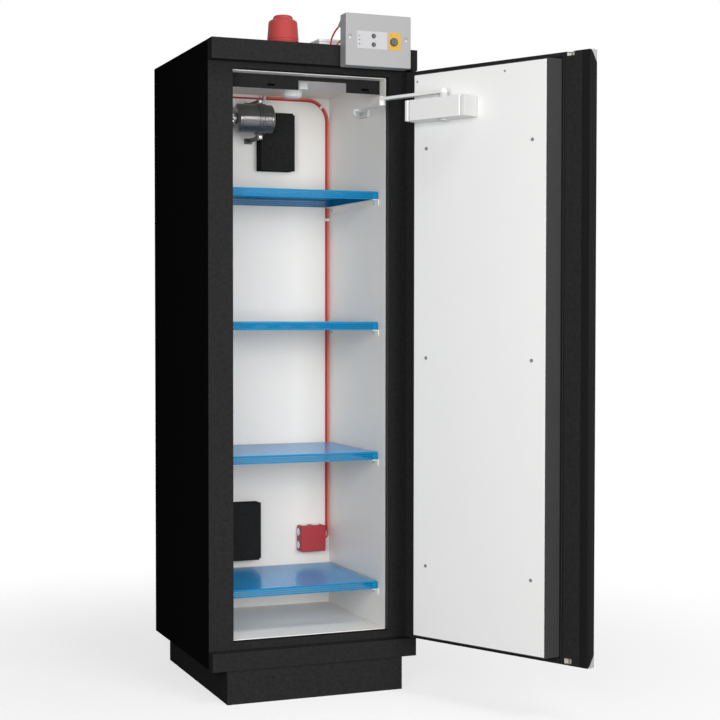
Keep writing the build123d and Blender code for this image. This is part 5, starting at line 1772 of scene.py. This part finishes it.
@dataclass
class Latch:
    """Outer lever handle, its rosettes, the lock cylinder, the case and the shoot bolts."""

    x: float = -250.0 * MM
    handle_z: float = 1010.0 * MM
    lock_z: float = 950.0 * MM
    front: float = -307.5 * MM
    rosette: float = 4.3 * MM
    half_sizes: tuple[float, float] = (9.0 * MM, 4.5 * MM)
    narrowing: tuple[float, float] = (1.6 * MM, 0.8 * MM)
    grip_depth: float = 4.6 * MM
    round_power: float = 0.6
    round_end: float = 0.07

    def grip(self) -> Shell:
        """Grip that narrows and thins towards its round end.

        The ring at the share s of its length is an ellipse with its cosine and sine raised
        to round_power, and its half sizes fall evenly with s. Over the last share round_end
        they are multiplied by the square root of 1 - v^2, where v runs from 0 to 1.
        """
        low, high = HINGE.closed_box("handle")
        s = np.linspace(0, 1, 28)
        v = ((s - 1 + self.round_end) / self.round_end).clip(0)
        tip = np.sqrt(np.clip(1 - v**2, 0, 1))
        sizes = zip(self.half_sizes, self.narrowing)
        half_tall, half_thick = ((size - less * s) * tip for size, less in sizes)
        angle = np.linspace(0, 2 * np.pi, 32, endpoint=False)
        c, d = (np.sign(turn) * np.abs(turn) ** self.round_power for turn in (np.cos(angle), np.sin(angle)))
        y = low[1] + self.grip_depth + half_thick[:, None] * c
        z = self.handle_z + half_tall[:, None] * d
        rings = np.stack((self.x + (high[0] - self.x) * s[:, None] + 0 * y, y, z), axis=-1)
        shape = (len(s) - 1, len(angle))
        return sound(stacked(rings, np.ones(shape, bool), np.full(shape, 0.1)))

    def lever(self) -> None:
        """Lever handle: a flared hub, the grip, and the spindle through the rosette."""
        back = self.front - self.rosette
        flare = line_mm([(0, 0), (14, 0), (13, 8), (12.5, 20), (11.5, 22), (0, 22)], 0.9, 3) * (1, -1)
        hub = sound(turned_shape(flare, (self.x, back, self.handle_z), Axis.Y, 48, worn=0.2))
        rod = line_mm([(0, 0), (5, 0), (5, 17.3), (0, 17.3)], 0.5)
        spindle = sound(turned_shape(rod, (self.x, back - 1 * MM, self.handle_z), Axis.Y, 24))
        whole = joined([hub, self.grip(), spindle]).mapped(HINGE.opened)
        make_piece("lever_handle", whole, "handle", [POWDER_BLACK], ["handle"])

    def rosettes(self) -> None:
        """Two turned rosettes with a rolled rim."""
        shells = []
        for rim, bore, z in ((20, 6, self.handle_z), (14, 7.05, self.lock_z)):
            outside = [(bore, 0), (rim, 0), (rim, 1.6), (rim - 2, 4)]
            corners = outside + [(rim - 4, 3.4), (bore + 1, 3.4), (bore, 3.0)]
            line = line_mm(corners, 0.5, closed=True) * (1, -1)
            shells.append(tube(line, (self.x, self.front, z), Axis.Y, 64))
        whole = joined(shells).mapped(HINGE.opened)
        make_piece("rosette_rings", whole, "door", [STAINLESS], ["lock_rosettes"], merge=True)

    def build(self) -> None:
        """Builds the handle and rosettes and dresses what lies inside the door."""
        self.lever()
        self.rosettes()
        dress(ZINC, "lock_case")
        dress(PIVOT_DARK, "top_rod", "bottom_rod")
        dress(STAINLESS, "lock_core")


# Studio


@dataclass
class Studio:
    """Pale floor, soft lamps, white surroundings and the photograph's camera."""

    camera_place: Colour = (-1.4981, -4.3769, 1.0665)
    yaw: float = 0.380
    pitch: float = -0.030
    roll: float = 0.001
    lens: float = 78.66
    sensor: float = 36.0
    floor_pale: float = 0.9
    floor_rough: float = 0.9
    floor_radius: float = 2.2
    floor_fade: float = 0.5
    floor_cover: float = 0.3
    floor_drop: float = 0.5 * MM
    ambient: float = 0.15
    aim: Colour = (0.0, 0.0, 0.95)

    def floor(self) -> None:
        """Pale disc whose rim fades into the white surroundings."""
        radius = np.concatenate(([0.0], np.linspace(0.2, self.floor_radius, 12)))
        flat = np.column_stack((radius, np.zeros(len(radius))))
        shell = turned_shape(flat, (0, 0, -self.floor_drop), Axis.Z, 96)
        mesh = bpy.data.meshes.new("floor")
        mesh.from_pydata(shell.points.tolist(), [], shell.faces[0][:, ::-1].tolist())
        mesh.update()
        obj = bpy.data.objects.new("floor", mesh)
        bpy.context.scene.collection.objects.link(obj)
        material = bpy.data.materials.new("floor_pale")
        material.use_nodes = True
        tree = material.node_tree
        place = add_node(tree, "TexCoord").outputs["Object"]
        reach = add_node(tree, "VectorMath", {0: place}, operation="LENGTH").outputs["Value"]
        limits = {
            "Value": reach,
            "From Min": self.floor_fade,
            "From Max": self.floor_radius,
            "To Min": self.floor_cover,
            "To Max": 0.0,
        }
        fade = add_node(tree, "MapRange", limits, interpolation_type="SMOOTHSTEP")
        pale = (*[self.floor_pale] * 3, 1)
        values = {"Base Color": pale, "Roughness": self.floor_rough, "Alpha": fade}
        wire(tree, tree.nodes["Principled BSDF"], values)
        mesh.materials.append(material)

    def surroundings(self) -> None:
        """White for the camera and for reflections, a plain grey light for the rest."""
        world = bpy.data.worlds.new("surroundings")
        bpy.context.scene.world = world
        world.use_nodes = True
        tree = world.node_tree
        tree.nodes.clear()
        rays = add_node(tree, "LightPath").outputs
        seen = {0: rays["Is Camera Ray"], 1: rays["Is Glossy Ray"]}
        seen = add_node(tree, "Math", seen, operation="MAXIMUM")
        clear = {0: seen, 1: rays["Is Transmission Ray"]}
        clear = add_node(tree, "Math", clear, operation="MAXIMUM")
        dim, bright = (
            add_node(tree, "Background", {"Color": (1, 1, 1, 1), "Strength": strength})
            for strength in (self.ambient, 1.0)
        )
        blend = add_node(tree, "MixShader", {"Fac": clear, 1: dim, 2: bright})
        add_node(tree, "OutputWorld", {"Surface": blend})

    def lamp(self, name: str, place: Colour, size: float, power: float) -> None:
        """Square soft lamp that points at the cabinet's middle.

        Args:
            name: its name.
            place: where it stands.
            size: length of its side.
            power: its power in watts.
        """
        data = bpy.data.lights.new(name, "AREA")
        data.size, data.energy = size, power
        lamp = bpy.data.objects.new(name, data)
        lamp.location = place
        lamp.rotation_euler = (Vector(self.aim) - Vector(place)).to_track_quat("-Z", "Y").to_euler()
        bpy.context.scene.collection.objects.link(lamp)

    def lamps(self) -> None:
        """Two main lamps, before the opening and on the left, a weak one on the right, one above."""
        self.lamp("front_lamp", (0.4, -4.6, 1.3), 1.5, 90)
        self.lamp("left_lamp", (-2.4, -3.8, 1.6), 2.0, 106)
        self.lamp("right_lamp", (1.3, -4.4, 2.0), 1.5, 13)
        self.lamp("top_lamp", (1.0, -3.4, 5.2), 1.8, 108)

    def camera(self) -> None:
        """Camera at the photograph's place, turned by yaw, pitch and roll."""
        sy, cy, sp, cp = np.sin(self.yaw), np.cos(self.yaw), np.sin(self.pitch), np.cos(self.pitch)
        forward = Vector((sy * cp, cy * cp, sp))
        right = Vector((cy, -sy, 0))
        up = right.cross(forward)
        level_right = right * np.cos(self.roll) + up * np.sin(self.roll)
        level_up = up * np.cos(self.roll) - right * np.sin(self.roll)
        turn = Matrix((level_right, level_up, -forward)).transposed()
        data = bpy.data.cameras.new("camera")
        data.lens, data.sensor_width = self.lens, self.sensor
        obj = bpy.data.objects.new("camera", data)
        obj.matrix_world = Matrix.Translation(self.camera_place) @ turn.to_4x4()
        bpy.context.scene.collection.objects.link(obj)
        bpy.context.scene.camera = obj

    def build(self) -> None:
        """Sets the studio up."""
        bpy.context.scene.view_settings.view_transform = "Standard"
        self.camera()
        self.surroundings()
        self.lamps()
        self.floor()


def main() -> None:
    """Builds the studio and every sub-assembly."""
    logging.basicConfig(level=logging.INFO, format="%(name)s %(message)s")
    for kind in (Studio, Body, Shelves, Ventilation, Extinguisher, Detector, SocketBox, RoofFittings,
                 ControlPanel, Door, Closer, Latch):
        log.info("%s", kind.__name__)
        kind().build()


if __name__ == "__main__":
    main()
